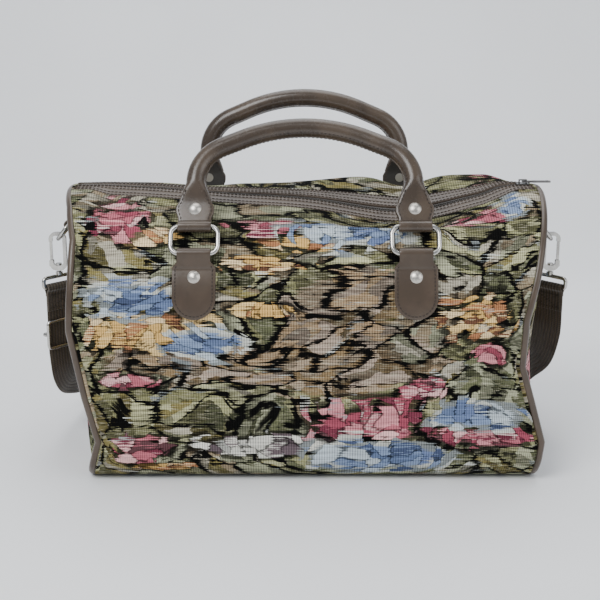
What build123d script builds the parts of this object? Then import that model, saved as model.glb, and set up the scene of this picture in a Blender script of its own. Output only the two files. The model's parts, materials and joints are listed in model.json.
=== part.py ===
from build123d import *
import os
from math import asin, atan2, cos, degrees, pi, radians, sin, sqrt

# Zip-top carpet bag in woven tapestry with leather trim. Millimetres, Z up.
# The origin is on the table under the middle of the flat base. X runs along the bag,
# -Y is the front and +Y the back.

# ---- driving dimensions: shell ------------------------------------------------------
bag_length = 400.0          # outer face of one end panel to that of the other
bag_depth = 200.0           # front to back, also the width of the domed top
bag_height = 235.0          # table to the top of the dome
base_corner_radius = 25.0
cloth_thickness = 2.5       # tapestry, backing and lining, quilted together
piping_radius = 3.5
base_board_thickness = 2.0
base_board_margin = 6.0     # from each end panel

# ---- zip ----------------------------------------------------------------------------
zip_slot_width = 36.0       # gap that the wrapped body panel leaves along the top
zip_width = 11.0            # between the two leather bindings
binding_rise = 0.8          # binding above the tapestry beside it
tape_thickness = 1.0
coil_width = 1.9
coil_height = 1.2
coil_gap = 2.0              # room for the slider's post between the two coils
slider_length = 11.0
slider_plate = 1.2
slider_post = 1.4
slider_clearance = 0.3
slider_end_gap = 9.0        # slider's middle to the end panel with the zip closed
bridge_length = 7.0
bridge_height = 3.6
bridge_thickness = 1.0
bridge_width = 1.6
pull_length = 24.0
pull_width = 7.0
pull_thickness = 1.2
pull_arm_width = 1.2
pull_arm_length = 6.0
pull_arm_gap = 0.5          # each side of the bridge
pull_bar_radius = 0.6
pull_bar_clearance = 0.4
pull_hole_radius = 1.5

# ---- handles, their rings and the tabs that hold them -------------------------------
handle_span = 178.0         # between the middles of a handle's two tabs
handle_rise = 100.0         # peak corner of the grip's line above the ring's upper bar
handle_shoulder = 62.0      # height of the grip's shoulder corners
handle_radius = 8.0
handle_shoulder_bend = 58.0
handle_peak_bend = 130.0
handle_tab_width = 27.0     # where it wraps the ring
handle_tab_flare = 31.0
handle_tab_height = 30.0
leather_thickness = 2.2
ring_width = 38.0           # middle to middle of the wire
ring_height = 23.0
ring_corner = 7.0
ring_wire_radius = 2.1
ring_clearance = 0.35
chape_width = 35.0
chape_neck = 27.0
chape_length = 52.0         # from its round lower end to the ring's lower bar
chape_shoulder = 9.0
chape_angle = 33.0          # of the ring's lower bar round the dome, from the horizontal
skin_gap = 0.2              # between a leather tab and the tapestry under it
front_ring_lean = 30.0      # degrees from upright, towards the middle of the bag
front_handle_lean = 33.0
back_ring_lean = 12.0
back_handle_lean = -3.0
rivet_head_radius = 5.2
rivet_head_height = 2.0
rivet_shank_radius = 1.9
rivet_hole_radius = 2.0
rivet_burr_radius = 4.0
rivet_burr_height = 0.8
chape_rivet_drop = 18.0     # below the ring's lower bar, along the dome
handle_rivet_rise = 15.0    # above the ring's upper bar

# ---- end tabs, D-rings and the shoulder strap's swivel hooks ------------------------
end_tab_width = 19.0
end_tab_top = 226.0
end_tab_bar = 201.0         # height of the D-ring's bar
d_ring_width = 27.0
d_ring_drop = 17.0
d_ring_corner = 3.5
d_ring_bottom_corner = 12.0
d_wire_radius = 1.7
d_ring_clearance = 0.3
d_ring_tilt = 38.0          # hangs outwards from the end panel
hook_width = 15.0
hook_height = 34.0
hook_wall = 3.0
hook_thickness = 4.0
hook_corner = 6.0
hook_base = 4.5
hook_offset = 1.4           # hook's middle outside the D-ring's wire
hook_slack = 0.9            # between the D-ring's wire and the hook's bend above it
gate_length = 18.0
gate_width = 2.4
gate_gap = 0.35
gate_pin_radius = 0.8
gate_eye_radius = 1.4
gate_pin_clearance = 0.15
stem_radius = 1.5
stem_clearance = 0.15
stem_head_radius = 2.6
stem_head_height = 1.4
stem_head_clearance = 0.5
stem_length = 5.0           # from the hook's base to the eye's upper bar
eye_wire_radius = 1.7
eye_inner_width = 31.0
eye_inner_height = 5.5
eye_turn = 50.0             # the eye's long side, turned from the X axis

# ---- shoulder strap -----------------------------------------------------------------
strap_width = 30.0
strap_thickness = 1.6
strap_loop_clearance = 0.3
strap_sewn_length = 18.0    # doubled webbing below each eye
slide_height = 24.0
slide_wire_radius = 1.6
slide_clearance = 0.6
slide_drop = 42.0           # from the left eye's lower bar to the slide's middle

# ---- derived ------------------------------------------------------------------------
half_length = bag_length / 2
dome_radius = bag_depth / 2
dome_z = bag_height - dome_radius
panel_span = bag_length - 2 * cloth_thickness
zip_half = zip_width / 2
slot_half = zip_slot_width / 2
loop_inner = ring_wire_radius + ring_clearance
loop_outer = loop_inner + leather_thickness
pivot_radius = dome_radius + skin_gap + loop_outer
half_span = handle_span / 2
side_sign = {"front": -1, "back": 1}
end_sign = {"left": -1, "right": 1}


def save(shape, name):
    """Write one node as its own STEP file."""
    shape.label = name
    export_step(shape, f"parts/{name}.step")


def tube(path, radius):
    """A round bar along a wire."""
    start = Plane(origin=path @ 0, z_dir=path % 0)
    return sweep(start * Circle(radius), path=path)


# ---- shell --------------------------------------------------------------------------
def end_outline(inset):
    """Edges of the bag's section seen along X: flat base, round corners, domed top."""
    half = dome_radius - inset
    corner = base_corner_radius - inset
    floor = half - corner
    spring = inset + corner
    return Wire([
        Line((-floor, inset), (floor, inset)),
        CenterArc((floor, spring), corner, 270, 90),
        Line((half, spring), (half, dome_z)),
        CenterArc((0, dome_z), half, 0, 180),
        Line((-half, dome_z), (-half, spring)),
        CenterArc((-floor, spring), corner, 180, 90),
    ])


def section(inset):
    """The bag's section as a face, in the plane across the bag."""
    return Plane.YZ * Face(end_outline(inset))


def across(width, low, high, middle=0.0):
    """A rectangle in the plane across the bag, given in Y and Z."""
    return Plane.YZ * Pos(middle, (low + high) / 2) * Rectangle(width, high - low)


def along_x(face, length):
    """A face in the plane across the bag, drawn out to both sides of the middle."""
    return extrude(face, amount=length / 2, both=True, dir=(1, 0, 0))


def make_body_panel():
    """The wrap: up the front, under the base and up the back, with a slot for the zip."""
    wall = section(0) - section(cloth_thickness)
    wall -= across(zip_slot_width, dome_z, bag_height + 1)
    panel = along_x(wall, panel_span)
    for side in side_sign:
        for end in end_sign:
            panel -= rivet_hole(chape_rivet_plane(side, end))
    return panel


def make_end_panel(sign):
    """One flat end panel of the shell's outline."""
    plate = extrude(section(0), amount=cloth_thickness, dir=(1, 0, 0))
    return Pos(panel_span / 2 if sign > 0 else -half_length, 0, 0) * plate


def make_piping(sign):
    """The corded edge along an end panel's seam."""
    rim = Plane.YZ * end_outline(piping_radius + skin_gap)
    rim = Pos(sign * (half_length + piping_radius), 0, 0) * rim
    return tube(rim, piping_radius)


def make_base_board():
    """The stiffener that lies on the base inside."""
    width = 2 * (dome_radius - base_corner_radius)
    low = cloth_thickness
    return along_x(across(width, low, low + base_board_thickness),
                   panel_span - 2 * base_board_margin)


# ---- zip ----------------------------------------------------------------------------
tape_bottom = dome_z + sqrt((dome_radius - cloth_thickness) ** 2 - zip_half ** 2)
tape_top = tape_bottom + tape_thickness
coil_top = tape_top + coil_height
slider_top = coil_top + slider_clearance + slider_plate
slider_x = half_length - cloth_thickness - slider_end_gap


def make_binding(sign):
    """A leather strip between the tapestry's edge and the zip."""
    ring = Circle(dome_radius + binding_rise) - Circle(dome_radius - cloth_thickness)
    strip = Plane.YZ * Pos(0, dome_z) * ring
    middle = sign * (slot_half + zip_half) / 2
    band = across(slot_half - zip_half, bag_height - cloth_thickness * 3, bag_height + 2, middle)
    return along_x(strip & band, panel_span)


def make_zip_tape(sign):
    """Half of the zip: its tape with the coil along the inner edge."""
    inner = coil_gap / 2
    tape = across(zip_half - inner, tape_bottom, tape_top, sign * (zip_half + inner) / 2)
    coil = across(coil_width, tape_top, coil_top, sign * (inner + coil_width / 2))
    return along_x(tape + coil, panel_span)


def make_zip_slider():
    """Two plates joined by a post, with the bridge that carries the pull."""
    width = zip_width - 2 * slider_clearance - 0.6
    top_low = coil_top + slider_clearance
    low_high = tape_bottom - slider_clearance
    body = Pos(0, 0, top_low + slider_plate / 2) * Box(slider_length, width, slider_plate)
    body += Pos(0, 0, low_high - slider_plate / 2) * Box(slider_length, width, slider_plate)
    post = (top_low + low_high) / 2
    body += Pos(0, 0, post) * Box(slider_length * 0.4, slider_post, top_low - low_high)
    body = fillet(body.edges().filter_by(Axis.Z).group_by(Axis.X)[-1], 1.5)
    arch = Box(bridge_length, bridge_width, bridge_height)
    arch -= Pos(0, 0, -bridge_thickness) * Box(
        bridge_length - 2 * bridge_thickness, bridge_width, bridge_height)
    return Pos(slider_x, 0, 0) * (body + Pos(0, 0, slider_top + bridge_height / 2) * arch)


pull_z = slider_top + bridge_height - bridge_thickness - pull_bar_radius - pull_bar_clearance


def make_zip_pull():
    """The pull: a cross bar under the bridge, two arms and a rounded tongue."""
    outer = pull_arm_length + pull_bar_radius
    tongue = Pos(outer / 2 + pull_length / 2, 0) * RectangleRounded(
        pull_length - outer, pull_width, 2.4)
    outline = tongue - Pos(pull_length - 2 * pull_hole_radius, 0) * Circle(pull_hole_radius)
    inside = bridge_width + 2 * pull_arm_gap
    for way in (-1, 1):
        arm_y = way * (inside + pull_arm_width) / 2
        outline += Pos((outer + 1) / 2, arm_y) * Rectangle(outer + 1, pull_arm_width)
    plate = extrude(outline, amount=pull_thickness / 2, both=True)
    bar = Rot(90, 0, 0) * Cylinder(pull_bar_radius, inside + 2 * pull_arm_width)
    return Pos(slider_x, 0, pull_z) * (plate + bar)


# ---- tabs, rings and handles --------------------------------------------------------
def pivot(side, drop=0.0, radius=pivot_radius):
    """Y and Z of a point on the dome, drop millimetres below the ring's lower bar."""
    angle = radians(chape_angle) - drop / dome_radius
    return side_sign[side] * radius * cos(angle), dome_z + radius * sin(angle)


def chape_rivet_plane(side, end):
    """The plane on the tab's face where its rivet sits, pointing outwards."""
    face = dome_radius + skin_gap + leather_thickness
    y, z = pivot(side, chape_rivet_drop, face)
    angle = radians(chape_angle) - chape_rivet_drop / dome_radius
    normal = (0, side_sign[side] * cos(angle), sin(angle))
    return Plane(origin=(end_sign[end] * half_span, y, z), x_dir=(1, 0, 0), z_dir=normal)


def rivet_hole(plane):
    """The hole for a rivet's shank, through leather and tapestry."""
    return plane * Cylinder(rivet_hole_radius, 6 * leather_thickness)


def make_rivet(plane, grip):
    """A domed head on the plane, a shank through grip and a flat burr behind it."""
    cap = (rivet_head_radius ** 2 + rivet_head_height ** 2) / (2 * rivet_head_height)
    head = Pos(0, 0, rivet_head_height - cap) * Sphere(cap)
    head &= Pos(0, 0, rivet_head_height / 2) * Cylinder(rivet_head_radius, rivet_head_height)
    shank = Pos(0, 0, -grip / 2) * Cylinder(rivet_shank_radius, grip)
    burr = Pos(0, 0, -grip - rivet_burr_height / 2) * Cylinder(rivet_burr_radius, rivet_burr_height)
    return plane * (head + shank + burr)


def make_chape(side, end):
    """A leather tab on the dome, round at its foot, that loops the ring's lower bar."""
    inner = dome_radius + skin_gap
    outer = inner + leather_thickness
    shell = Plane.YZ * Pos(0, dome_z) * (Circle(outer) - Circle(inner))
    shell = along_x(shell, chape_width)
    y, top = pivot(side)
    foot = pivot(side, chape_length, inner)[1]
    half = chape_width / 2
    neck = chape_neck / 2
    shape = Pos(0, foot + half) * Circle(half)
    shape += make_face(Polyline((-half, foot + half), (half, foot + half),
                                (half, top - 2 * chape_shoulder), (neck, top - chape_shoulder),
                                (neck, top), (-neck, top), (-neck, top - chape_shoulder),
                                (-half, top - 2 * chape_shoulder), close=True))
    cutter = extrude(Plane.XZ * shape, amount=-side_sign[side] * bag_depth)
    tab = shell & cutter
    loop = Rot(0, 90, 0) * Cylinder(loop_outer, chape_neck)
    tab += Pos(0, y, top) * loop
    tab -= Pos(0, y, top) * Rot(0, 90, 0) * Cylinder(loop_inner, chape_width)
    tab = Pos(end_sign[end] * half_span, 0, 0) * tab
    return tab - rivet_hole(chape_rivet_plane(side, end))


def lean_plane(side, lean, y, z, x=0.0):
    """A plane through a ring's bar: X along the bag, Y up the leaning ring or handle."""
    turn = radians(lean)
    up = (0, -side_sign[side] * sin(turn), cos(turn))
    normal = (0, -up[2], up[1])
    return Plane(origin=(x, y, z), x_dir=(1, 0, 0), z_dir=normal)


ring_lean = {"front": front_ring_lean, "back": back_ring_lean}
handle_lean = {"front": front_handle_lean, "back": back_handle_lean}


def upper_bar(side):
    """Y and Z of the ring's upper bar, round which the handle is looped."""
    y, z = pivot(side)
    turn = radians(ring_lean[side])
    return y - side_sign[side] * ring_height * sin(turn), z + ring_height * cos(turn)


def make_ring(side, end):
    """A rounded rectangular ring of round wire."""
    y, z = pivot(side)
    plane = lean_plane(side, ring_lean[side], y, z, end_sign[end] * half_span)
    outline = RectangleRounded(ring_width, ring_height, ring_corner).wire()
    return tube(plane * Pos(0, ring_height / 2) * outline, ring_wire_radius)


def handle_plane(side):
    """The plane of a handle, with its origin on the rings' upper bars."""
    y, z = upper_bar(side)
    return lean_plane(side, handle_lean[side], y, z)


def handle_rivet_plane(side, end):
    """The outer face of a handle's tab, where its rivet sits."""
    out = 1 if side == "front" else -1
    base = handle_plane(side)
    origin = base.from_local_coords(
        Vector(end_sign[end] * half_span, handle_rivet_rise, out * leather_thickness))
    return Plane(origin=origin, x_dir=(1, 0, 0), z_dir=base.z_dir * out)


def make_handle(side):
    """A rolled leather grip whose two flat ends are looped round the rings."""
    start = handle_tab_height - 4
    line = FilletPolyline(
        (-half_span, start), (-half_span, handle_shoulder), (0, handle_rise),
        (half_span, handle_shoulder), (half_span, start),
        radius=[handle_shoulder_bend * 0.6, handle_peak_bend, handle_shoulder_bend * 0.6])
    grip = tube(Wire(line.edges()), handle_radius)
    neck = handle_tab_width / 2
    flare = handle_tab_flare / 2
    tab = make_face(Polyline((-neck, 0), (-neck, 7), (-flare, 11), (-flare, 18),
                             (-handle_radius, handle_tab_height + 4),
                             (handle_radius, handle_tab_height + 4), (flare, 18),
                             (flare, 11), (neck, 7), (neck, 0), close=True))
    tab = extrude(tab, amount=leather_thickness, both=True)
    tab += Rot(0, 90, 0) * Cylinder(loop_outer, handle_tab_width)
    tab -= Rot(0, 90, 0) * Cylinder(loop_inner, 2 * handle_tab_flare)
    whole = grip
    for sign in end_sign.values():
        whole += Pos(sign * half_span, 0, 0) * tab
    whole = handle_plane(side) * whole
    for end in end_sign:
        whole -= rivet_hole(handle_rivet_plane(side, end))
    return whole


# ---- end tabs, D-rings and hooks ----------------------------------------------------
end_loop_inner = d_wire_radius + d_ring_clearance
end_loop_outer = end_loop_inner + leather_thickness
d_bar_x = half_length + skin_gap + end_loop_outer
d_wire_x = d_bar_x + d_ring_drop * sin(radians(d_ring_tilt))
d_wire_z = end_tab_bar - d_ring_drop * cos(radians(d_ring_tilt))
hook_x = d_wire_x + hook_offset
hook_top = d_wire_z + d_wire_radius + hook_slack + hook_wall
hook_bottom = hook_top - hook_height
eye_z = hook_bottom - stem_length        # upper bar of the eye
eye_drop = eye_inner_height + 2 * eye_wire_radius
strap_z = eye_z - eye_drop               # lower bar, round which the strap is looped


def make_end_tab(sign):
    """The leather loop high on an end panel, with the D-ring's bar in its lower end."""
    plate = Box(leather_thickness, end_tab_width, end_tab_top - end_tab_bar)
    plate = Pos(half_length + skin_gap + leather_thickness / 2, 0,
                (end_tab_top + end_tab_bar) / 2) * plate
    loop = Rot(90, 0, 0) * Cylinder(end_loop_outer, end_tab_width)
    bore = Rot(90, 0, 0) * Cylinder(end_loop_inner, 2 * end_tab_width)
    tab = plate + Pos(d_bar_x, 0, end_tab_bar) * loop - Pos(d_bar_x, 0, end_tab_bar) * bore
    return tab if sign > 0 else mirror(tab, about=Plane.YZ)


def make_d_ring(sign):
    """A D of round wire, hanging from its straight bar."""
    outline = Pos(0, -d_ring_drop / 2) * Rectangle(d_ring_width, d_ring_drop)
    corners = outline.vertices().sort_by(Axis.Y)
    outline = fillet(corners[2:], d_ring_corner)
    outline = fillet(outline.vertices().sort_by(Axis.Y)[:2], d_ring_bottom_corner)
    turn = radians(d_ring_tilt)
    normal = (cos(turn), 0, sin(turn))
    plane = Plane(origin=(d_bar_x, 0, end_tab_bar), x_dir=(0, 1, 0), z_dir=normal)
    ring = tube(plane * outline.wire(), d_wire_radius)
    return ring if sign > 0 else mirror(ring, about=Plane.YZ)


gate_x = hook_width / 2 - hook_wall / 2
gate_z = hook_bottom + hook_base + gate_pin_radius + 2.2
gate_top = gate_z + gate_length


def make_hook(sign):
    """The swivel hook's body: a frame with one side left open for the gate."""
    middle = (hook_top + hook_bottom) / 2
    frame = Pos(0, middle) * RectangleRounded(hook_width, hook_height, hook_corner)
    window_height = hook_height - hook_wall - hook_base
    window = Pos(0, hook_bottom + hook_base + window_height / 2) * RectangleRounded(
        hook_width - 2 * hook_wall, window_height, hook_corner - hook_wall)
    mouth_low = gate_z - gate_pin_radius - 1.6
    mouth_high = gate_top + gate_gap
    mouth = Pos(hook_width / 2, (mouth_low + mouth_high) / 2) * Rectangle(
        2 * hook_wall, mouth_high - mouth_low)
    body = extrude(Plane.XZ * (frame - window - mouth), amount=hook_thickness / 2, both=True)
    slot_half_width = gate_width / 2 + gate_pin_clearance
    for way in (-1, 1):
        ear = Plane.XZ.offset(way * (slot_half_width + 0.5)) * Pos(gate_x, gate_z - 1)
        body += extrude(ear * RectangleRounded(hook_wall + 0.6, 6, 1.2), amount=0.4, both=True)
    pin = Pos(gate_x, 0, gate_z) * Rot(90, 0, 0) * Cylinder(gate_pin_radius, hook_thickness)
    body += pin
    body -= Pos(0, 0, hook_bottom) * Cylinder(stem_radius + stem_clearance, 4 * hook_base)
    body = Pos(hook_x, 0, 0) * body
    return body if sign > 0 else mirror(body, about=Plane.YZ)


def make_gate(sign):
    """The sprung gate: a flat bar with an eye round the hook's pin."""
    eye = Pos(gate_x, gate_z) * Circle(gate_eye_radius)
    bar = Pos(gate_x, (gate_z + gate_top) / 2) * Rectangle(hook_wall - 0.8, gate_length)
    bore = Pos(gate_x, gate_z) * Circle(gate_pin_radius + gate_pin_clearance)
    gate = extrude(Plane.XZ * (eye + bar - bore), amount=gate_width / 2, both=True)
    gate = Pos(hook_x, 0, 0) * gate
    return gate if sign > 0 else mirror(gate, about=Plane.YZ)


def eye_plane(sign, z):
    """An upright plane through the swivel's axis, with X along the eye's long side."""
    turn = radians(eye_turn)
    along = Vector(sign * cos(turn), -sin(turn), 0)
    return Plane(origin=(sign * hook_x, 0, z), x_dir=along, z_dir=along.cross(Vector(0, 0, 1)))


def make_eye(sign):
    """The swivel eye: a headed stem in the hook's base and a loop for the webbing."""
    width = eye_inner_width + 2 * eye_wire_radius
    loop = Pos(0, -eye_drop / 2) * RectangleRounded(width, eye_drop, 3.0)
    loop = tube(eye_plane(sign, eye_z) * loop.wire(), eye_wire_radius)
    stem_high = hook_bottom + hook_base + stem_head_clearance
    head_z = stem_high + stem_head_height / 2
    stem = Pos(0, 0, (eye_z + stem_high) / 2) * Cylinder(stem_radius, stem_high - eye_z)
    stem += Pos(0, 0, head_z) * Cylinder(stem_head_radius, stem_head_height)
    collar = stem_length - eye_wire_radius - stem_clearance - 0.4
    stem += Pos(0, 0, eye_z + collar / 2 + 1) * Cylinder(2 * stem_radius, collar)
    return loop + Pos(sign * hook_x, 0, 0) * stem


# ---- shoulder strap -----------------------------------------------------------------
strap_hang = strap_z - 4                 # where the webbing leaves the eye
strap_rest = strap_thickness / 2 + 0.2   # its middle where it lies on the table

# Route of the webbing from the left eye, round behind the bag and up to the right eye:
# a point on its middle line, and the direction across its width there.
eye_side = (cos(radians(eye_turn)), sin(radians(eye_turn)), 0)
strap_route = [
    ((-hook_x, 0, strap_hang), eye_side),
    ((-hook_x, 0, strap_hang - 18), eye_side),
    ((-hook_x, 0, strap_hang - 36), eye_side),
    ((-hook_x, 0, strap_hang - 54), eye_side),
    ((-hook_x, 4, strap_hang - 72), (0.55, 0.85, 0.10)),
    ((-hook_x, 24, 52), (0.40, 0.85, 0.35)),
    ((-hook_x - 1, 62, 40), (0.15, 0.80, 0.60)),
    ((-hook_x + 4, 106, 26), (0.25, 0.80, 0.50)),
    ((-hook_x + 32, 138, 11), (-0.25, 0.95, 0.20)),
    ((-hook_x + 78, 146, strap_rest), (-0.10, 1.0, 0)),
    ((-70, 142, strap_rest), (0, 1.0, 0)),
    ((0, 136, strap_rest), (-0.06, 1.0, 0)),
    ((70, 139, strap_rest), (0, 1.0, 0)),
    ((hook_x - 78, 148, strap_rest), (0.10, 1.0, 0)),
    ((hook_x - 32, 140, 13), (0.25, 0.95, 0.22)),
    ((hook_x - 4, 108, 34), (-0.25, 0.80, 0.50)),
    ((hook_x + 1, 64, 56), (-0.15, 0.80, 0.60)),
    ((hook_x + 1, 24, 80), (-0.45, 0.85, 0.25)),
    ((hook_x, 3, strap_hang - 34), (-eye_side[0], eye_side[1], 0)),
    ((hook_x, 0, strap_hang - 16), (-eye_side[0], eye_side[1], 0)),
    ((hook_x, 0, strap_hang), (-eye_side[0], eye_side[1], 0)),
]


def ribbon(stations, width, thickness):
    """A closed strip through a list of (point, along, across) stations, with flat facets."""
    rings = []
    for point, along, side in stations:
        side = (side - along * side.dot(along)).normalized() * (width / 2)
        out = along.cross(side).normalized() * (thickness / 2)
        rings.append([point + side + out, point - side + out, point - side - out,
                      point + side - out])
    faces = [Face(Wire.make_polygon(ring)) for ring in (rings[0], rings[-1])]
    for first, second in zip(rings, rings[1:]):
        for corner in range(4):
            after = (corner + 1) % 4
            for three in ((first[corner], first[after], second[after]),
                          (first[corner], second[after], second[corner])):
                faces.append(Face(Wire.make_polygon(three)))
    return Solid(Shell(faces))


def make_strap():
    """The webbing: looped and sewn at both eyes, and lying behind the bag between them."""
    points = [Vector(*point) for point, across_way in strap_route]
    ways = [Vector(*across_way) for point, across_way in strap_route]
    line = Spline(points)
    reach = [line.param_at_point(p) for p in points]
    stations = []
    steps = 4
    for number in range(len(points) - 1):
        for step in range(steps):
            share = step / steps
            at = reach[number] + (reach[number + 1] - reach[number]) * share
            way = ways[number] * (1 - share) + ways[number + 1] * share
            stations.append((line @ at, line % at, way))
    stations.append((points[-1], line % 1, ways[-1]))
    strap = ribbon(stations, strap_width, strap_thickness)
    print("strap length", round(line.length + 2 * strap_sewn_length, 1))
    inner = eye_wire_radius + strap_loop_clearance
    for sign in (-1, 1):
        plane = eye_plane(sign, strap_z)
        loop = Rot(0, 90, 0) * Cylinder(inner + strap_thickness, strap_width)
        sewn = Pos(0, -inner - strap_sewn_length / 2, 0) * Box(
            strap_width, strap_sewn_length, 2 * strap_thickness)
        strap += plane * (loop + sewn)
        strap -= plane * Rot(0, 90, 0) * Cylinder(inner, 2 * strap_width)
    return strap


def make_strap_slide():
    """The three-bar slide: two bars in front of the webbing and one behind it."""
    width = strap_width + 2 * slide_clearance + 2 * slide_wire_radius
    outline = RectangleRounded(width, slide_height, 3.0).wire()
    stand = strap_thickness / 2 + slide_clearance + slide_wire_radius
    plane = eye_plane(-1, strap_z - slide_drop)
    out = -1 if plane.z_dir.Y > 0 else 1
    frame = tube(Plane.XY.offset(out * stand) * outline, slide_wire_radius)
    bar = Rot(0, 90, 0) * Cylinder(slide_wire_radius, width)
    frame += Pos(0, 0, -out * stand) * bar
    for way in (-1, 1):
        frame += Pos(way * width / 2, 0, 0) * Cylinder(slide_wire_radius, 2 * stand)
    return plane * frame


# ---- build --------------------------------------------------------------------------
os.makedirs("parts", exist_ok=True)

save(make_body_panel(), "body_panel")
save(make_base_board(), "base_board")
save(make_zip_slider(), "zip_slider")
save(make_zip_pull(), "zip_pull")
save(make_strap(), "shoulder_strap")
save(make_strap_slide(), "strap_slide")
chape_grip = leather_thickness + skin_gap + cloth_thickness + 0.1
chape_rivets = []
for side, sign in side_sign.items():
    save(make_binding(sign), f"{side}_zip_binding")
    save(make_zip_tape(sign), f"{side}_zip_tape")
    save(make_handle(side), f"{side}_handle")
    grip = 2 * leather_thickness
    rivets = [make_rivet(handle_rivet_plane(side, end), grip) for end in end_sign]
    save(Compound(children=rivets), f"{side}_handle_rivets")
    for end in end_sign:
        save(make_chape(side, end), f"{side}_{end}_tab")
        save(make_ring(side, end), f"{side}_{end}_ring")
        chape_rivets.append(make_rivet(chape_rivet_plane(side, end), chape_grip))
save(Compound(children=chape_rivets), "tab_rivets")
for end, sign in end_sign.items():
    save(make_end_panel(sign), f"{end}_end_panel")
    save(make_piping(sign), f"{end}_piping")
    save(make_end_tab(sign), f"{end}_end_tab")
    save(make_d_ring(sign), f"{end}_d_ring")
    save(make_hook(sign), f"{end}_hook")
    save(make_gate(sign), f"{end}_hook_gate")
    save(make_eye(sign), f"{end}_hook_eye")

front_pivot, front_bar = pivot("front"), upper_bar("front")
back_pivot, back_bar = pivot("back"), upper_bar("back")
print("ring pivots y z:", front_pivot, back_pivot)
print("handle pivots y z:", front_bar, back_bar)
print("slider", slider_x, "pull z", pull_z, "d ring bar", d_bar_x, end_tab_bar)
print("hook x", hook_x, "gate x z", hook_x + gate_x, gate_z, "strap bar z", strap_z)
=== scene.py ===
"""Looks of a zip-top carpet bag: tapestry shell, leather trim and handles, fittings and strap."""

import json
import logging
import math
from dataclasses import dataclass, field
from enum import Enum

import bmesh
import bpy
import numpy as np
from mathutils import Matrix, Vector


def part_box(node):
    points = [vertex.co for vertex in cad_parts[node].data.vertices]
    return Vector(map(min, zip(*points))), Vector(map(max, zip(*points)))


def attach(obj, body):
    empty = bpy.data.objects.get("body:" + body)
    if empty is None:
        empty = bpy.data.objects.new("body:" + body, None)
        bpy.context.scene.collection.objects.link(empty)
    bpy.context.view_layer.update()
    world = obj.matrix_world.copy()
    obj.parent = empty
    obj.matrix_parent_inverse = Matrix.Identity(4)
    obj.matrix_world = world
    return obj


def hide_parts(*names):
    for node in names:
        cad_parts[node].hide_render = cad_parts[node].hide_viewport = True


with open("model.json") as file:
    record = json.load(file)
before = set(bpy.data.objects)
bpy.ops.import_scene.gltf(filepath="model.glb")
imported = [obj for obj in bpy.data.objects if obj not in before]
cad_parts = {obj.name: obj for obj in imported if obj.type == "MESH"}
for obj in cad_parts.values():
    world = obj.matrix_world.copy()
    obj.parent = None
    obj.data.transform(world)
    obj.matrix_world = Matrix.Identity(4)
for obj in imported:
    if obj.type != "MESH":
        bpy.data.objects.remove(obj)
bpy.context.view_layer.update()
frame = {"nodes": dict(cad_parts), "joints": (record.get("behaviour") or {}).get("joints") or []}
log = logging.getLogger("carpet_bag")

Points = np.ndarray
Socket = bpy.types.NodeSocket
TAU = 2 * math.pi
ENDS = {"left": -1, "right": 1}
SIDES = {"front": -1, "back": 1}
STITCH = (0.0025, 0.0010, 0.0009)
STITCH_STEP = 0.0030
STITCH_INSET = 0.0024
TOP_LINE = 0.00001
NO_FLOWERS = 9.0


# ---- small geometry helpers ---------------------------------------------------------
def smooth(low: float, high: float, value: Points) -> Points:
    """A smooth step from 0 at low to 1 at high."""
    share = np.clip((value - low) / (high - low), 0, 1)
    return share * share * (3 - 2 * share)


def hump(value: Points, middle: float, spread: float) -> Points:
    """A bell of height 1 round middle."""
    return np.exp(-(((value - middle) / spread) ** 2))


def unit(vectors: Points) -> Points:
    """Vectors scaled to length 1."""
    return vectors / np.maximum(np.linalg.norm(vectors, axis=-1, keepdims=True), 1e-12)


def arc_lengths(path: Points) -> Points:
    """The distance along a path at each of its points."""
    steps = np.linalg.norm(np.diff(path, axis=0), axis=1)
    return np.concatenate([[0.0], np.cumsum(steps)])


def resample(path: Points, count: int) -> Points:
    """The same path with count points, evenly spaced."""
    along = arc_lengths(path)
    wanted = np.linspace(0, along[-1], count)
    return np.stack([np.interp(wanted, along, path[:, axis]) for axis in range(3)], axis=1)


def tangents(path: Points, closed: bool = False) -> Points:
    """The direction of a path at each of its points."""
    if closed:
        return unit(np.roll(path, -1, axis=0) - np.roll(path, 1, axis=0))
    return unit(np.gradient(path, axis=0))


def carried_sides(path: Points, first: Points, closed: bool = False) -> Points:
    """A direction square to the path, carried along it without twisting.

    Args:
        path: The points of the path.
        first: The direction wanted at the first point.
        closed: Whether the path joins its own start.

    Returns:
        One unit direction for each point.
    """
    along = tangents(path, closed)
    side = np.array(first, float)
    sides = []
    for tangent in along:
        side = side - tangent * side.dot(tangent)
        side /= np.linalg.norm(side)
        sides.append(side)
    return np.array(sides)


def catmull(points: Points, steps: int) -> Points:
    """A smooth path through the given points, with steps points for each span."""
    points = np.array(points, float)
    padded = np.vstack([2 * points[0] - points[1], points, 2 * points[-1] - points[-2]])
    path = []
    for a, b, c, d in zip(padded, padded[1:], padded[2:], padded[3:]):
        for step in range(steps):
            t = step / steps
            path.append(0.5 * (2 * b + (c - a) * t + (2 * a - 5 * b + 4 * c - d) * t * t
                               + (3 * b - a - 3 * c + d) * t ** 3))
    return np.array(path + [points[-1]])


def mesh_object(name: str, points: Points, faces: list, uv: Points | None = None) -> bpy.types.Object:
    """A smooth-shaded mesh object in the scene.

    Args:
        name: The piece's name.
        points: Its vertices, in metres.
        faces: Its faces, as tuples of vertex numbers.
        uv: One UV pair for each vertex, if it has a map.

    Returns:
        The new object.
    """
    mesh = bpy.data.meshes.new(name)
    mesh.from_pydata([tuple(p) for p in points], [], faces)
    mesh.polygons.foreach_set("use_smooth", [True] * len(mesh.polygons))
    if uv is not None:
        layer = mesh.uv_layers.new(name="UVMap")
        corner = np.zeros(len(mesh.loops), int)
        mesh.loops.foreach_get("vertex_index", corner)
        layer.data.foreach_set("uv", np.asarray(uv, float)[corner].ravel())
    mesh.update()
    piece = bpy.data.objects.new(name, mesh)
    bpy.context.scene.collection.objects.link(piece)
    return piece


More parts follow.
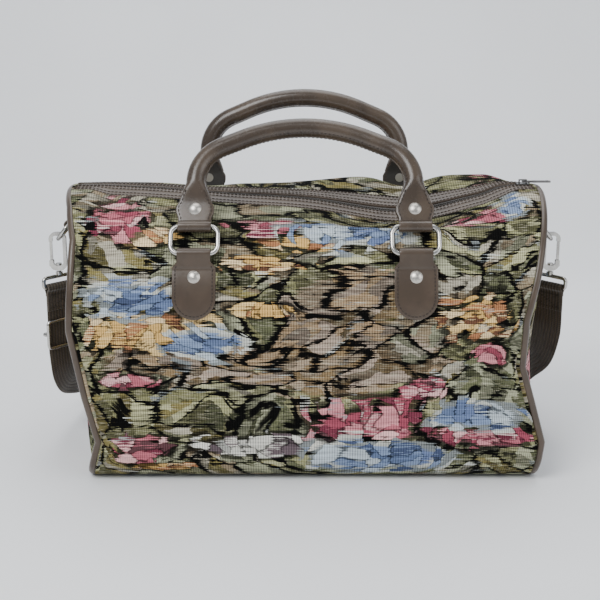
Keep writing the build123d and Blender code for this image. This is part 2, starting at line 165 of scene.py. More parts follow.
def grid_faces(rows: int, columns: int, wrap: bool = False, flip: bool = False) -> list:
    """Quads of a grid of rows by columns, whose columns may close round."""
    faces = []
    for row in range(rows - 1):
        for column in range(columns if wrap else columns - 1):
            after = (column + 1) % columns
            quad = (row * columns + column, row * columns + after,
                    (row + 1) * columns + after, (row + 1) * columns + column)
            faces.append(quad[::-1] if flip else quad)
    return faces


def loft(name: str, rings: Points, closed: bool = False) -> bpy.types.Object:
    """A skin over a list of rings, capped at both ends unless it closes on itself.

    Args:
        name: The piece's name.
        rings: Points as (ring, point of the ring, coordinate).
        closed: Whether the last ring joins the first.

    Returns:
        The new object, with UVs in metres: round the ring, and along the path.
    """
    count, around = rings.shape[:2]
    middle = rings.mean(axis=1)
    if closed:
        rings = np.concatenate([rings, rings[:1]])
        middle = np.concatenate([middle, middle[:1]])
    along = arc_lengths(middle)
    seam = np.concatenate([rings, rings[:, :1]], axis=1)
    turns = np.array([arc_lengths(ring) for ring in seam])
    points, columns = seam.reshape(-1, 3), around + 1
    uv = np.stack([turns.ravel(), np.repeat(along, columns)], axis=1)
    faces = grid_faces(len(seam), columns)
    if not closed:
        faces.append(tuple(range(around))[::-1])
        faces.append(tuple((count - 1) * columns + k for k in range(around)))
    piece = mesh_object(name, points, faces, uv)
    mend(piece)
    return piece


def mend(piece: bpy.types.Object) -> None:
    """Merge a mesh's doubled points and turn its faces outwards."""
    work = bmesh.new()
    work.from_mesh(piece.data)
    bmesh.ops.remove_doubles(work, verts=work.verts, dist=1e-6)
    bmesh.ops.recalc_face_normals(work, faces=work.faces)
    work.to_mesh(piece.data)
    work.free()


def tube(name: str, path: Points, radius: float | Points, sides: int = 16,
         closed: bool = False, start: tuple = (0, 1, 0)) -> bpy.types.Object:
    """A round bar along a path, of one radius or one for each point."""
    radii = np.broadcast_to(np.asarray(radius, float), (len(path),))
    across = carried_sides(path, start, closed)
    up = np.cross(tangents(path, closed), across)
    turn = np.arange(sides) * TAU / sides
    ring = (across[:, None] * np.cos(turn)[None, :, None]
            + up[:, None] * np.sin(turn)[None, :, None])
    return loft(name, path[:, None] + ring * radii[:, None, None], closed)


def band(name: str, path: Points, sides: Points, widths: Points, thick: Points,
         edge: float = 4.0, around: int = 40) -> bpy.types.Object:
    """A strap of rounded-edge section along a path.

    Args:
        name: The piece's name.
        path: The middle line.
        sides: The direction across the strap at each point.
        widths: The width at each point.
        thick: The thickness at each point.
        edge: The squareness of the section: 2 is an ellipse, and more is boxier.
        around: The number of points in the section.

    Returns:
        The new object.
    """
    out = unit(np.cross(tangents(path), sides))
    turn = np.arange(around) * TAU / around
    across = np.sign(np.cos(turn)) * np.abs(np.cos(turn)) ** (2 / edge)
    proud = np.sign(np.sin(turn)) * np.abs(np.sin(turn)) ** (2 / edge)
    rings = (path[:, None]
             + sides[:, None] * (across[None] * widths[:, None] / 2)[..., None]
             + out[:, None] * (proud[None] * thick[:, None] / 2)[..., None])
    return loft(name, rings)


def rounded_loop(width: float, height: float, corner: float, steps: int = 8) -> Points:
    """A closed rounded rectangle about the origin, in X and Y."""
    path = []
    for quarter, (sx, sy) in enumerate(((1, 1), (-1, 1), (-1, -1), (1, -1))):
        for step in range(steps + 1):
            turn = (quarter + step / steps) * math.pi / 2
            path.append((sx * (width / 2 - corner) + corner * math.cos(turn),
                         sy * (height / 2 - corner) + corner * math.sin(turn), 0))
    return np.array(path)


def placed(path: Points, origin: Points, x_way: Points, y_way: Points) -> Points:
    """A flat path laid in a plane given by its origin and two directions."""
    x_way, y_way = unit(np.array(x_way, float)), unit(np.array(y_way, float))
    normal = np.cross(x_way, y_way)
    return (np.array(origin) + path[:, :1] * x_way + path[:, 1:2] * y_way
            + path[:, 2:3] * normal)


def joined(name: str, pieces: list) -> bpy.types.Object:
    """Several mesh objects as one, under a new name."""
    with bpy.context.temp_override(active_object=pieces[0], selected_editable_objects=pieces,
                                   selected_objects=pieces, object=pieces[0]):
        bpy.ops.object.join()
    pieces[0].name = name
    pieces[0].data.name = name
    return pieces[0]


# ---- finishes -----------------------------------------------------------------------
class Graph:
    """A material under construction: it adds nodes and wires them to a Principled shader."""

    def __init__(self, name: str) -> None:
        """Start an empty node material of that name."""
        self.material = bpy.data.materials.new(name)
        self.material.use_nodes = True
        self.tree = self.material.node_tree
        self.shader = self.tree.nodes["Principled BSDF"]

    def add(self, kind: str, inputs: dict | None = None, **settings: object) -> bpy.types.Node:
        """Add a node; inputs maps a socket's name or number to a value or another socket."""
        node = self.tree.nodes.new("ShaderNode" + kind)
        for key, value in settings.items():
            setattr(node, key, value)
        for key, value in (inputs or {}).items():
            self.put(node.inputs[key], value)
        return node

    def put(self, socket: Socket, value: object) -> None:
        """Wire a socket to another one, or set its own value."""
        if isinstance(value, Socket):
            self.tree.links.new(value, socket)
        else:
            socket.default_value = value

    def math(self, operation: str, *values: object, clamp: bool = False) -> Socket:
        """The result of a Math node."""
        node = self.add("Math", dict(enumerate(values)), operation=operation, use_clamp=clamp)
        return node.outputs[0]

    def vector(self, operation: str, *values: object) -> Socket:
        """The result of a Vector Math node."""
        node = self.add("VectorMath", dict(enumerate(values)), operation=operation)
        return node.outputs["Value" if operation == "LENGTH" else "Vector"]

    def noise(self, place: Socket, scale: float, detail: float = 2.0) -> Socket:
        """The value of a noise texture."""
        node = self.add("TexNoise", {"Vector": place, "Scale": scale, "Detail": detail})
        return node.outputs["Fac"]

    def step(self, value: Socket, low: float, high: float) -> Socket:
        """A smooth step of a value from low to high."""
        node = self.add("MapRange", {0: value, 1: low, 2: high}, interpolation_type="SMOOTHSTEP")
        return node.outputs[0]

    def mix(self, share: object, first: object, second: object, blend: str = "MIX") -> Socket:
        """A colour between two others."""
        node = self.add("Mix", data_type="RGBA", blend_type=blend)
        for socket, value in zip((node.inputs[0], node.inputs[6], node.inputs[7]),
                                 (share, first, second)):
            self.put(socket, value)
        return node.outputs[2]

    def ramp(self, value: Socket, stops: list, hard: bool = False) -> Socket:
        """A colour ramp of (place, colour) stops."""
        node = self.add("ValToRGB", {0: value})
        ramp = node.color_ramp
        ramp.interpolation = "CONSTANT" if hard else "LINEAR"
        while len(ramp.elements) < len(stops):
            ramp.elements.new(0.5)
        for element, (place, colour) in zip(ramp.elements, stops):
            element.position = place
            element.color = (*colour, 1)
        return node.outputs[0]

    def finish(self, colour: object, roughness: object, height: Socket | None = None,
               depth: float = 0.0002, **shader: object) -> bpy.types.Material:
        """Wire the colour, roughness and bump, set the shader's own values, and return it."""
        self.put(self.shader.inputs["Base Color"], colour)
        self.put(self.shader.inputs["Roughness"], roughness)
        for key, value in shader.items():
            self.shader.inputs[key.replace("_", " ")].default_value = value
        if height is not None:
            bump = self.add("Bump", {"Height": height, "Distance": depth, "Strength": 1.0})
            self.put(self.shader.inputs["Normal"], bump.outputs[0])
        return self.material


Colour = tuple[float, float, float]


@dataclass(frozen=True)
class Tapestry:
    """Woven floral tapestry: dark ground, streaky leaves and flowers, and upright ribs with painted
    shade in their grooves.
    """

    leaf_length: float = 0.046
    leaf_height: float = 0.020
    petal_length: float = 0.014
    petal_height: float = 0.0075
    rib_pitch: float = 0.0021
    pick_pitch: float = 0.0011
    ground: Colour = (0.0030, 0.0030, 0.0028)
    leaves: tuple = ((0.0, (0.190, 0.185, 0.090)), (0.15, (0.305, 0.300, 0.155)),
                     (0.30, (0.125, 0.132, 0.070)), (0.42, (0.34, 0.345, 0.230)),
                     (0.56, (0.265, 0.205, 0.130)), (0.68, (0.41, 0.375, 0.29)),
                     (0.80, (0.22, 0.185, 0.070)), (0.91, (0.43, 0.42, 0.24)))
    browns: tuple = ((0.0, (0.31, 0.215, 0.125)), (0.3, (0.38, 0.29, 0.20)),
                     (0.55, (0.24, 0.165, 0.085)), (0.75, (0.41, 0.32, 0.25)))
    pinks: tuple = ((0.0, (0.44, 0.13, 0.16)), (0.22, (0.60, 0.25, 0.27)),
                    (0.45, (0.16, 0.035, 0.055)), (0.60, (0.72, 0.42, 0.41)),
                    (0.74, (0.30, 0.065, 0.095)), (0.9, (0.10, 0.045, 0.05)))
    blues: tuple = ((0.0, (0.12, 0.165, 0.28)), (0.25, (0.20, 0.265, 0.40)),
                    (0.5, (0.06, 0.08, 0.145)), (0.62, (0.44, 0.50, 0.54)),
                    (0.85, (0.13, 0.175, 0.31)))
    golds: tuple = ((0.0, (0.62, 0.385, 0.13)), (0.3, (0.70, 0.49, 0.22)),
                    (0.55, (0.36, 0.16, 0.075)), (0.68, (0.74, 0.56, 0.32)),
                    (0.9, (0.13, 0.06, 0.035)))
    creams: tuple = ((0.0, (0.58, 0.57, 0.51)), (0.4, (0.36, 0.36, 0.33)),
                     (0.6, (0.70, 0.68, 0.61)), (0.85, (0.12, 0.09, 0.10)))

    def material(self) -> bpy.types.Material:
        """Build the node material, which reads the UV map in metres and the flower fields."""
        g = Graph("woven_tapestry")
        flat = g.add("UVMap", uv_map="UVMap").outputs[0]
        streak = g.noise(g.vector("MULTIPLY", flat, (34, 760, 0)), 1.0, 3.0)
        strand = g.noise(g.vector("MULTIPLY", flat, (90, 1300, 0)), 1.0, 2.0)
        swirl = self.shifted(g, flat, (9, 15, 0), 0.080)
        uv = self.shifted(g, self.shifted(g, swirl, (40, 60, 0), 0.016), (55, 520, 0), 0.0075)
        colour = self.foliage(g, uv, streak, strand)
        colour = self.blooms(g, uv, streak, colour)

        across = g.add("SeparateXYZ", {0: flat})
        rib = g.math("SINE", g.math("MULTIPLY", across.outputs[0], TAU / self.rib_pitch))
        pick = g.math("SINE", g.math("MULTIPLY", across.outputs[1], TAU / self.pick_pitch))
        # Painted shade: the colour is multiplied down in the troughs between the ribs and, a little,
        # between the picks, where the bump sinks. The streaks add their own tone to it.
        groove = g.step(rib, -1.0, -0.35)
        weave_shade = g.math("ADD", g.math("MULTIPLY", groove, 0.42), g.math("MULTIPLY", pick, 0.04))
        rib_shade_and_tone = g.math("ADD", weave_shade, g.math("MULTIPLY", streak, 1.25))
        rib_shade_and_tone = g.math("SUBTRACT", g.math("MULTIPLY", rib_shade_and_tone, 1.32), 0.20)
        colour = g.mix(1.0, colour, g.add("CombineColor", {0: rib_shade_and_tone, 1: rib_shade_and_tone, 2: rib_shade_and_tone}).outputs[0],
                       "MULTIPLY")
        height = g.math("ADD", g.math("MULTIPLY", groove, 1.0), g.math("ADD", g.math(
            "MULTIPLY", pick, 0.2), g.math("MULTIPLY", streak, 2.4)))
        return g.finish(colour, 0.88, height, 0.00035, Specular_IOR_Level=0.06)

    @staticmethod
    def shifted(g: Graph, place: Socket, scale: tuple, reach: float) -> Socket:
        """The same place pushed about by a noise of the given scale."""
        cloud = g.add("TexNoise", {"Vector": g.vector("MULTIPLY", place, scale), "Scale": 1.0,
                                   "Detail": 2.0}).outputs["Color"]
        push = g.vector("SCALE", g.vector("SUBTRACT", cloud, (0.5, 0.5, 0.5)))
        push.node.inputs["Scale"].default_value = reach
        return g.vector("ADD", place, push)

    def cells(self, g: Graph, uv: Socket, length: float, height: float) -> tuple:
        """Cells of a size: three random values for each, and the distance to its edge."""
        place = g.vector("MULTIPLY", uv, (1 / length, 1 / height, 0))
        cell = g.add("TexVoronoi", {"Vector": place, "Scale": 1.0}, voronoi_dimensions="2D")
        rim = g.add("TexVoronoi", {"Vector": place, "Scale": 1.0}, voronoi_dimensions="2D",
                    feature="DISTANCE_TO_EDGE").outputs["Distance"]
        which = g.add("SeparateColor", {0: cell.outputs["Color"]}).outputs
        return which[0], which[1], which[2], rim

    def foliage(self, g: Graph, uv: Socket, streak: Socket, strand: Socket) -> Socket:
        """Leaves in broken colours, with dark outlines that come and go."""
        hue, shade, width, rim = self.cells(g, uv, self.leaf_length, self.leaf_height)
        lobe_hue, lobe, _, lobe_rim = self.cells(g, uv, self.leaf_length / 3,
                                                 self.leaf_height / 2.6)
        mixed = g.math("FRACT", g.math("ADD", hue, g.math("MULTIPLY", lobe_hue, 0.30)))
        colour = g.ramp(mixed, self.leaves, hard=True)
        brown = g.ramp(g.math("FRACT", g.math("ADD", shade, g.math("MULTIPLY", lobe, 0.5))),
                       self.browns, hard=True)
        colour = g.mix(self.field(g, "brown", streak, shade, 0.5), colour, brown)
        dusk = g.math("MULTIPLY", g.step(g.math("ADD", g.math("MULTIPLY", lobe, 0.7), streak),
                                         1.15, 0.55), 0.72)
        colour = g.mix(dusk, colour, (0.010, 0.010, 0.007, 1))
        colour = g.mix(g.math("MULTIPLY", g.step(strand, 0.54, 0.66), 0.50), colour,
                       (0.47, 0.44, 0.33, 1))
        line = g.math("ADD", rim, g.math("MULTIPLY", g.math("SUBTRACT", streak, 0.5), 0.42))
        edge = g.step(g.math("SUBTRACT", line, g.math("MULTIPLY", width, 0.09)), 0.0, 0.05)
        colour = g.mix(edge, (*self.ground, 1), colour)
        fine = g.math("ADD", lobe_rim, g.math("MULTIPLY", g.math("SUBTRACT", streak, 0.5), 0.5))
        colour = g.mix(g.math("MULTIPLY", g.step(fine, 0.03, -0.05), 0.75), colour,
                       (*self.ground, 1))
        bare = g.noise(g.vector("MULTIPLY", uv, (24, 60, 0)), 1.0, 3.0)
        return g.mix(g.step(bare, 0.60, 0.64), colour, (*self.ground, 1))

    def blooms(self, g: Graph, uv: Socket, streak: Socket, colour: Socket) -> Socket:
        """Flowers laid over the leaves, petal by petal."""
        part, reach, shade, rim = self.cells(g, uv, self.petal_length, self.petal_height)
        hue = g.math("FRACT", g.math("ADD", part, g.math("MULTIPLY", streak, 0.40)))
        seam = g.math("ADD", rim, g.math("MULTIPLY", g.math("SUBTRACT", streak, 0.5), 0.5))
        seam = g.math("MULTIPLY", g.step(seam, 0.10, 0.0), 0.80)
        for name, stops in (("cream", self.creams), ("gold", self.golds),
                            ("pink", self.pinks), ("blue", self.blues)):
            edge = self.field(g, name, streak, reach, 0.40)
            if name == "blue":
                pale = g.mix(g.step(shade, 0.3, 0.6), (0.50, 0.51, 0.46, 1), (0.20, 0.22, 0.22, 1))
                colour = g.mix(edge, colour, pale)
            else:
                colour = g.mix(g.math("MULTIPLY", edge, 0.85), colour, (*self.ground, 1))
            petals = g.mix(seam, g.ramp(hue, stops, hard=True), (*self.ground, 1))
            colour = g.mix(self.field(g, name, streak, reach, 0.66), colour, petals)
        return colour

    @staticmethod
    def field(g: Graph, name: str, streak: Socket, cell: Socket, edge: float) -> Socket:
        """How far a flower's field reaches, cell by cell, with an edge drawn by the streaks."""
        weight = g.add("Attribute", attribute_name=name).outputs["Fac"]
        ragged = g.math("ADD", weight, g.math("MULTIPLY", g.math("SUBTRACT", streak, 0.5), 0.7))
        ragged = g.math("ADD", ragged, g.math("MULTIPLY", g.math("SUBTRACT", cell, 0.5), 0.75))
        return g.step(ragged, edge - 0.03, edge + 0.03)


@dataclass(frozen=True)
class Leather:
    """Smooth coated leather, with a fine grain, slight blotches and a soft shine."""

    name: str
    base: Colour
    rubbed: Colour
    roughness: float = 0.36

    def material(self) -> bpy.types.Material:
        """Build the node material."""
        g = Graph(self.name)
        place = g.add("TexCoord").outputs["Object"]
        blotch = g.noise(place, 42.0, 3.0)
        grain = g.add("TexVoronoi", {"Vector": place, "Scale": 1500.0},
                      feature="DISTANCE_TO_EDGE").outputs["Distance"]
        crease = g.noise(place, 260.0, 4.0)
        colour = g.mix(g.step(blotch, 0.36, 0.66), (*self.base, 1), (*self.rubbed, 1))
        colour = g.mix(g.math("MULTIPLY", g.step(crease, 0.55, 0.75), 0.25), colour,
                       (*(0.5 * c for c in self.base), 1))
        height = g.math("ADD", g.math("MULTIPLY", grain, 0.5), g.math("MULTIPLY", crease, 0.8))
        rough = g.math("ADD", self.roughness - 0.07, g.math("MULTIPLY", crease, 0.14))
        return g.finish(colour, rough, height, 0.00010, Specular_IOR_Level=0.5,
                        Coat_Weight=0.12, Coat_Roughness=0.3)


@dataclass(frozen=True)
class Metal:
    """Plated metal with faint brushing and handling marks, and painted shade where its surface turns
    away from the view.
    """

    name: str
    base: Colour
    roughness: float

    def material(self) -> bpy.types.Material:
        """Build the node material."""
        g = Graph(self.name)
        place = g.add("TexCoord").outputs["Object"]
        marks = g.noise(g.vector("MULTIPLY", place, (900, 900, 140)), 1.0, 3.0)
        smudge = g.noise(place, 120.0, 2.0)
        colour = g.mix(g.step(smudge, 0.35, 0.7), (*self.base, 1),
                       (*(0.78 * c for c in self.base), 1))
        # Painted shade: the colour darkens towards the edges that turn away from the view.
        facing_shade = g.add("LayerWeight", {"Blend": 0.35}).outputs["Facing"]
        colour = g.mix(g.step(facing_shade, 0.15, 0.75), colour, (*(0.22 * c for c in self.base), 1))
        rough = g.math("ADD", self.roughness, g.math("MULTIPLY", g.math(
            "SUBTRACT", smudge, 0.5), 0.25))
        return g.finish(colour, rough, marks, 0.00004, Metallic=1.0)


@dataclass(frozen=True)
class Cloth:
    """Plain woven tape or webbing, with ribs along its length, with painted light on the rib tops and
    painted shade in the grooves.
    """

    name: str
    base: Colour
    light: Colour
    rib_pitch: float
    pick_pitch: float

    def material(self) -> bpy.types.Material:
        """Build the node material, which reads the UV map in metres."""
        g = Graph(self.name)
        flat = g.add("UVMap", uv_map="UVMap").outputs[0]
        across = g.add("SeparateXYZ", {0: flat})
        rib = g.math("SINE", g.math("MULTIPLY", across.outputs[0], TAU / self.rib_pitch))
        pick = g.math("SINE", g.math("MULTIPLY", across.outputs[1], TAU / self.pick_pitch))
        fuzz = g.noise(g.vector("MULTIPLY", flat, (2600, 700, 0)), 1.0, 2.0)
        # Painted light and shade: the colour is lighter on the rib and pick tops and darker in the
        # grooves between them, where the bump rises and sinks. The fuzz adds the cloth's own random
        # tone.
        rib_shade_and_tone = g.math("ADD", g.math("MULTIPLY", rib, 0.28), g.math("MULTIPLY", pick, 0.14))
        rib_shade_and_tone = g.math("ADD", g.math("ADD", rib_shade_and_tone, 0.42), g.math("MULTIPLY", fuzz, 0.35), clamp=True)
        colour = g.mix(rib_shade_and_tone, (*self.base, 1), (*self.light, 1))
        height = g.math("ADD", rib, g.math("MULTIPLY", pick, 0.4))
        return g.finish(colour, 0.82, height, 0.00022, Sheen_Weight=0.2, Specular_IOR_Level=0.3)


@dataclass(frozen=True)
class Plain:
    """A plain matt or satin finish with slight mottling: thread, board and studio surfaces."""

    name: str
    base: Colour
    light: Colour
    scale: float
    roughness: float = 0.7

    def material(self) -> bpy.types.Material:
        """Build the node material."""
        g = Graph(self.name)
        mottle = g.noise(g.add("TexCoord").outputs["Object"], self.scale, 3.0)
        colour = g.mix(g.step(mottle, 0.3, 0.7), (*self.base, 1), (*self.light, 1))
        return g.finish(colour, self.roughness, mottle, 0.00005)


class Finish(Enum):
    """Every finish on the bag, built once when the scene starts."""

    TAPESTRY = Tapestry()
    LEATHER = Leather("taupe_leather", (0.053, 0.035, 0.022), (0.071, 0.048, 0.031), 0.34)
    GRIP = Leather("handle_leather", (0.045, 0.031, 0.021), (0.071, 0.050, 0.034), 0.26)
    INSIDE = Leather("leather_back", (0.018, 0.016, 0.014), (0.030, 0.026, 0.022), 0.6)
    NICKEL = Metal("satin_nickel", (0.56, 0.54, 0.505), 0.22)
    RIVET = Metal("satin_rivet", (0.60, 0.565, 0.51), 0.38)
    GUNMETAL = Metal("zip_gunmetal", (0.20, 0.19, 0.18), 0.34)
    WEBBING = Cloth("ribbed_webbing", (0.022, 0.016, 0.011), (0.105, 0.080, 0.054), 0.0031, 0.0014)
    ZIP_TAPE = Cloth("zip_tape", (0.020, 0.016, 0.013), (0.060, 0.050, 0.040), 0.0009, 0.0007)
    THREAD = Plain("brown_thread", (0.022, 0.015, 0.011), (0.045, 0.030, 0.021), 900.0)
    COIL = Plain("zip_coil", (0.024, 0.019, 0.015), (0.05, 0.042, 0.034), 500.0, 0.45)
    BOARD = Plain("base_board", (0.03, 0.03, 0.028), (0.05, 0.048, 0.045), 60.0, 0.8)


@dataclass
class Paintbox:
    """Holds the materials, so that each finish is built once and shared."""

    made: dict = field(default_factory=dict)

    def coat(self, piece: bpy.types.Object, finish: Finish) -> bpy.types.Object:
        """Give a piece one finish all over."""
        piece.data.materials.clear()
        piece.data.materials.append(self.get(finish))
        return piece

    def get(self, finish: Finish) -> bpy.types.Material:
        """The material of a finish."""
        if finish not in self.made:
            self.made[finish] = finish.value.material()
        return self.made[finish]


paint = Paintbox()


# ---- rows of small repeated pieces --------------------------------------------------
class RowTree:
    """A Geometry Nodes tree that sets one small bar at every step along its paths."""

    def __init__(self) -> None:
        """Build the tree with its named inputs."""
        self.group = bpy.data.node_groups.new("row_of_bars", "GeometryNodeTree")
        face = self.group.interface
        face.new_socket("Path", in_out="INPUT", socket_type="NodeSocketGeometry")
        self.step = face.new_socket("Step", in_out="INPUT", socket_type="NodeSocketFloat")
        self.size = face.new_socket("Size", in_out="INPUT", socket_type="NodeSocketVector")
        self.finish = face.new_socket("Finish", in_out="INPUT", socket_type="NodeSocketMaterial")
        face.new_socket("Row", in_out="OUTPUT", socket_type="NodeSocketGeometry")
        start = self.add("NodeGroupInput")
        curve = self.add("GeometryNodeMeshToCurve")
        points = self.add("GeometryNodeCurveToPoints", mode="LENGTH")
        bar = self.add("GeometryNodeMeshUVSphere")
        bar.inputs["Segments"].default_value = 8
        bar.inputs["Rings"].default_value = 5
        bar.inputs["Radius"].default_value = 0.5
        turn = self.add("FunctionNodeAlignRotationToVector", axis="X")
        spread = self.add("GeometryNodeInstanceOnPoints")
        solid = self.add("GeometryNodeRealizeInstances")
        shade = self.add("GeometryNodeSetShadeSmooth")
        coat = self.add("GeometryNodeSetMaterial")
        end = self.add("NodeGroupOutput")
        for source, target in (
                (start.outputs["Path"], curve.inputs[0]),
                (curve.outputs[0], points.inputs["Curve"]),
                (start.outputs["Step"], points.inputs["Length"]),
                (points.outputs["Points"], spread.inputs["Points"]),
                (points.outputs["Tangent"], turn.inputs["Vector"]),
                (turn.outputs[0], spread.inputs["Rotation"]),
                (bar.outputs["Mesh"], spread.inputs["Instance"]),
                (start.outputs["Size"], spread.inputs["Scale"]),
                (spread.outputs[0], solid.inputs[0]),
                (solid.outputs[0], shade.inputs[0]),
                (shade.outputs[0], coat.inputs["Geometry"]),
                (start.outputs["Finish"], coat.inputs["Material"]),
                (coat.outputs[0], end.inputs[0])):
            self.group.links.new(source, target)

    def add(self, kind: str, **settings: object) -> bpy.types.Node:
        """Add a node to the tree."""
        node = self.group.nodes.new(kind)
        for key, value in settings.items():
            setattr(node, key, value)
        return node

    def row(self, name: str, paths: list, step: float, size: tuple,
            finish: Finish) -> bpy.types.Object:
        """Bars along some paths, as one plain mesh.

        Args:
            name: The piece's name.
            paths: The paths, each an array of points.
            step: The distance from one bar to the next.
            size: A bar's length along the path, width and height.
            finish: Its finish.

        Returns:
            The new object, with nothing live left on it.
        """
        points = np.concatenate(paths)
        edges, count = [], 0
        for path in paths:
            edges += [(count + k, count + k + 1) for k in range(len(path) - 1)]
            count += len(path)
        mesh = bpy.data.meshes.new(name)
        mesh.from_pydata([tuple(p) for p in points], edges, [])
        piece = bpy.data.objects.new(name, mesh)
        bpy.context.scene.collection.objects.link(piece)
        modifier = piece.modifiers.new("row", "NODES")
        modifier.node_group = self.group
        modifier[self.step.identifier] = step
        modifier[self.size.identifier] = size
        modifier[self.finish.identifier] = paint.get(finish)
        bpy.context.view_layer.update()
        solid = bpy.data.meshes.new_from_object(
            piece.evaluated_get(bpy.context.evaluated_depsgraph_get()))
        piece.modifiers.clear()
        piece.data = solid
        solid.name = name
        return piece


rows = RowTree()


# ---- shell --------------------------------------------------------------------------
@dataclass
class Slump:
    """How the soft shell sits: its top sags between the handles and its ends draw in."""

    depth: float = 0.200
    height: float = 0.235
    half_length: float = 0.200
    corner: float = 0.025
    drop: float = 0.019
    forward: float = 0.017
    tip: float = 0.0042
    lift: float = 0.013
    tab_x: float = 0.089
    left_edge: tuple = ((0.0, 0.177), (0.035, 0.167), (0.075, 0.177), (0.13, 0.187),
                        (0.17, 0.185), (0.20, 0.185), (0.222, 0.192),
                        (0.235, 0.1995))
    right_edge: tuple = ((0.0, 0.188), (0.035, 0.192), (0.07, 0.182), (0.10, 0.173),
                         (0.14, 0.175), (0.17, 0.183), (0.20, 0.190), (0.235, 0.1985))
    dents: tuple = ((-0.150, 0.085, 0.050, 0.022, 0.0050), (0.150, 0.098, 0.045, 0.020, 0.0055),
                    (-0.110, 0.050, 0.050, 0.012, 0.0022), (0.105, 0.066, 0.040, 0.012, 0.0022),
                    (0.020, 0.085, 0.090, 0.020, 0.0020), (-0.165, 0.165, 0.018, 0.045, 0.0025),
                    (0.165, 0.165, 0.018, 0.040, 0.0025), (0.000, 0.180, 0.038, 0.024, 0.0030),
                    (-0.020, 0.135, 0.050, 0.014, -0.0016), (0.060, 0.035, 0.060, 0.014, -0.0016),
                    (-0.060, 0.060, 0.030, 0.016, -0.0014), (0.155, 0.130, 0.020, 0.014, -0.0018))

    @property
    def dome_z(self) -> float:
        """Height of the domed top's axis."""
        return self.height - self.depth / 2

    def sag(self, x: Points) -> Points:
        """How deep the top sags along the bag, from 0 to 1."""
        shape = hump(x, 0.085, 0.070) + 0.38 * hump(x, -0.035, 0.085)
        return shape * (1 - smooth(0.150, 0.184, np.abs(x)))

    def edge(self, x: Points, z: Points) -> Points:
        """How far out the shell's edge stands at a height, at the end x is on."""
        left = np.interp(z, *zip(*self.left_edge))
        right = np.interp(z, *zip(*self.right_edge))
        return np.where(x < 0, left, right)

    def section(self, inset: float, start: float, count: int) -> tuple[Points, Points]:
        """The section from the front of the zip, down, under and up to the back of it.

        Args:
            inset: How far inside the outer face it lies.
            start: How far from the middle of the top it starts, in Y.
            count: The number of points.

        Returns:
            The points as (count, 3) with X zero, and the distance along at each.
        """
        radius, corner = self.depth / 2 - inset, self.corner - inset
        floor, spring = radius - corner, inset + corner
        first = math.asin(start / radius)
        dome = np.linspace(first, math.pi / 2, 90)
        bend = np.linspace(0, math.pi / 2, 30)
        half = [(-radius * np.sin(dome), self.dome_z + radius * np.cos(dome)),
                (-floor - corner * np.cos(bend), spring - corner * np.sin(bend))]
        y, z = (np.concatenate([half[0][k], half[1][k]]) for k in (0, 1))
        path = np.stack([np.zeros(2 * len(y)), np.concatenate([y, -y[::-1]]),
                         np.concatenate([z, z[::-1]])], axis=1)
        path = resample(path, count)
        return path, arc_lengths(path)

    def settle(self, points: Points) -> Points:
        """Nominal points of the shell, moved to where the soft shell sits."""
        x, y, z = np.asarray(points, float).reshape(-1, 3).T
        out = np.stack([np.sign(y), np.zeros_like(z)], axis=1)
        dome = z > self.dome_z
        out[dome] = unit(np.stack([y, z - self.dome_z], axis=1)[dome])
        mirror = np.where(y < 0, x, -x)
        sink = np.zeros_like(x)
        for at_x, at_z, wide, high, deep in self.dents:
            sink += deep * hump(mirror, at_x, wide) * hump(z, at_z, high)
        sink *= smooth(0.004, 0.030, z) * (1 - smooth(0.190, 0.215, z))
        held = smooth(0.034, 0.020, np.abs(np.abs(x) - self.tab_x)) * smooth(0.110, 0.130, z)
        sink += 0.0011 * smooth(0.01, 0.04, z) * (1 - smooth(0.12, 0.14, z)) * np.sin(
            x * 95 + 2.2 * np.sin(z * 60)) * np.sin(z * 130 + 1.7 * np.sin(x * 40))
        sink *= 1 - held
        share = np.minimum(np.abs(x) / self.half_length, 1) ** 5
        new_x = x * (1 + (self.edge(x, z) / self.half_length - 1) * share)
        front = smooth(0.206, 0.232, z)
        loose = np.where(y < -0.0055, front, 1 - smooth(-0.0055, 0.046, y))
        loose = loose * (z > 0.19) * self.sag(x)
        tipped = np.where(y < 0, front * smooth(0.0050, 0.0180, -y), 0)
        tipped = tipped * (1 - smooth(0.165, 0.186, np.abs(x)))
        crest = hump(y, 0.046, 0.022) * smooth(0.195, 0.215, z)
        crest *= 1 - 0.80 * hump(np.abs(x), self.tab_x, 0.024)
        crest = crest * (0.35 + 0.65 * smooth(-0.04, 0.08, x)) * smooth(0.202, 0.160, np.abs(x))
        new_y = y - out[:, 0] * sink - self.forward * loose
        new_z = z - out[:, 1] * sink - self.drop * loose - self.tip * tipped + self.lift * crest
        return np.stack([new_x, new_y, new_z], axis=1).reshape(np.shape(points))


slump = Slump()


@dataclass(frozen=True)
class Flower:
    """One field of flower colour: its colour's name, middle and half sizes."""

    colour: str
    x: float
    z: float
    wide: float
    high: float


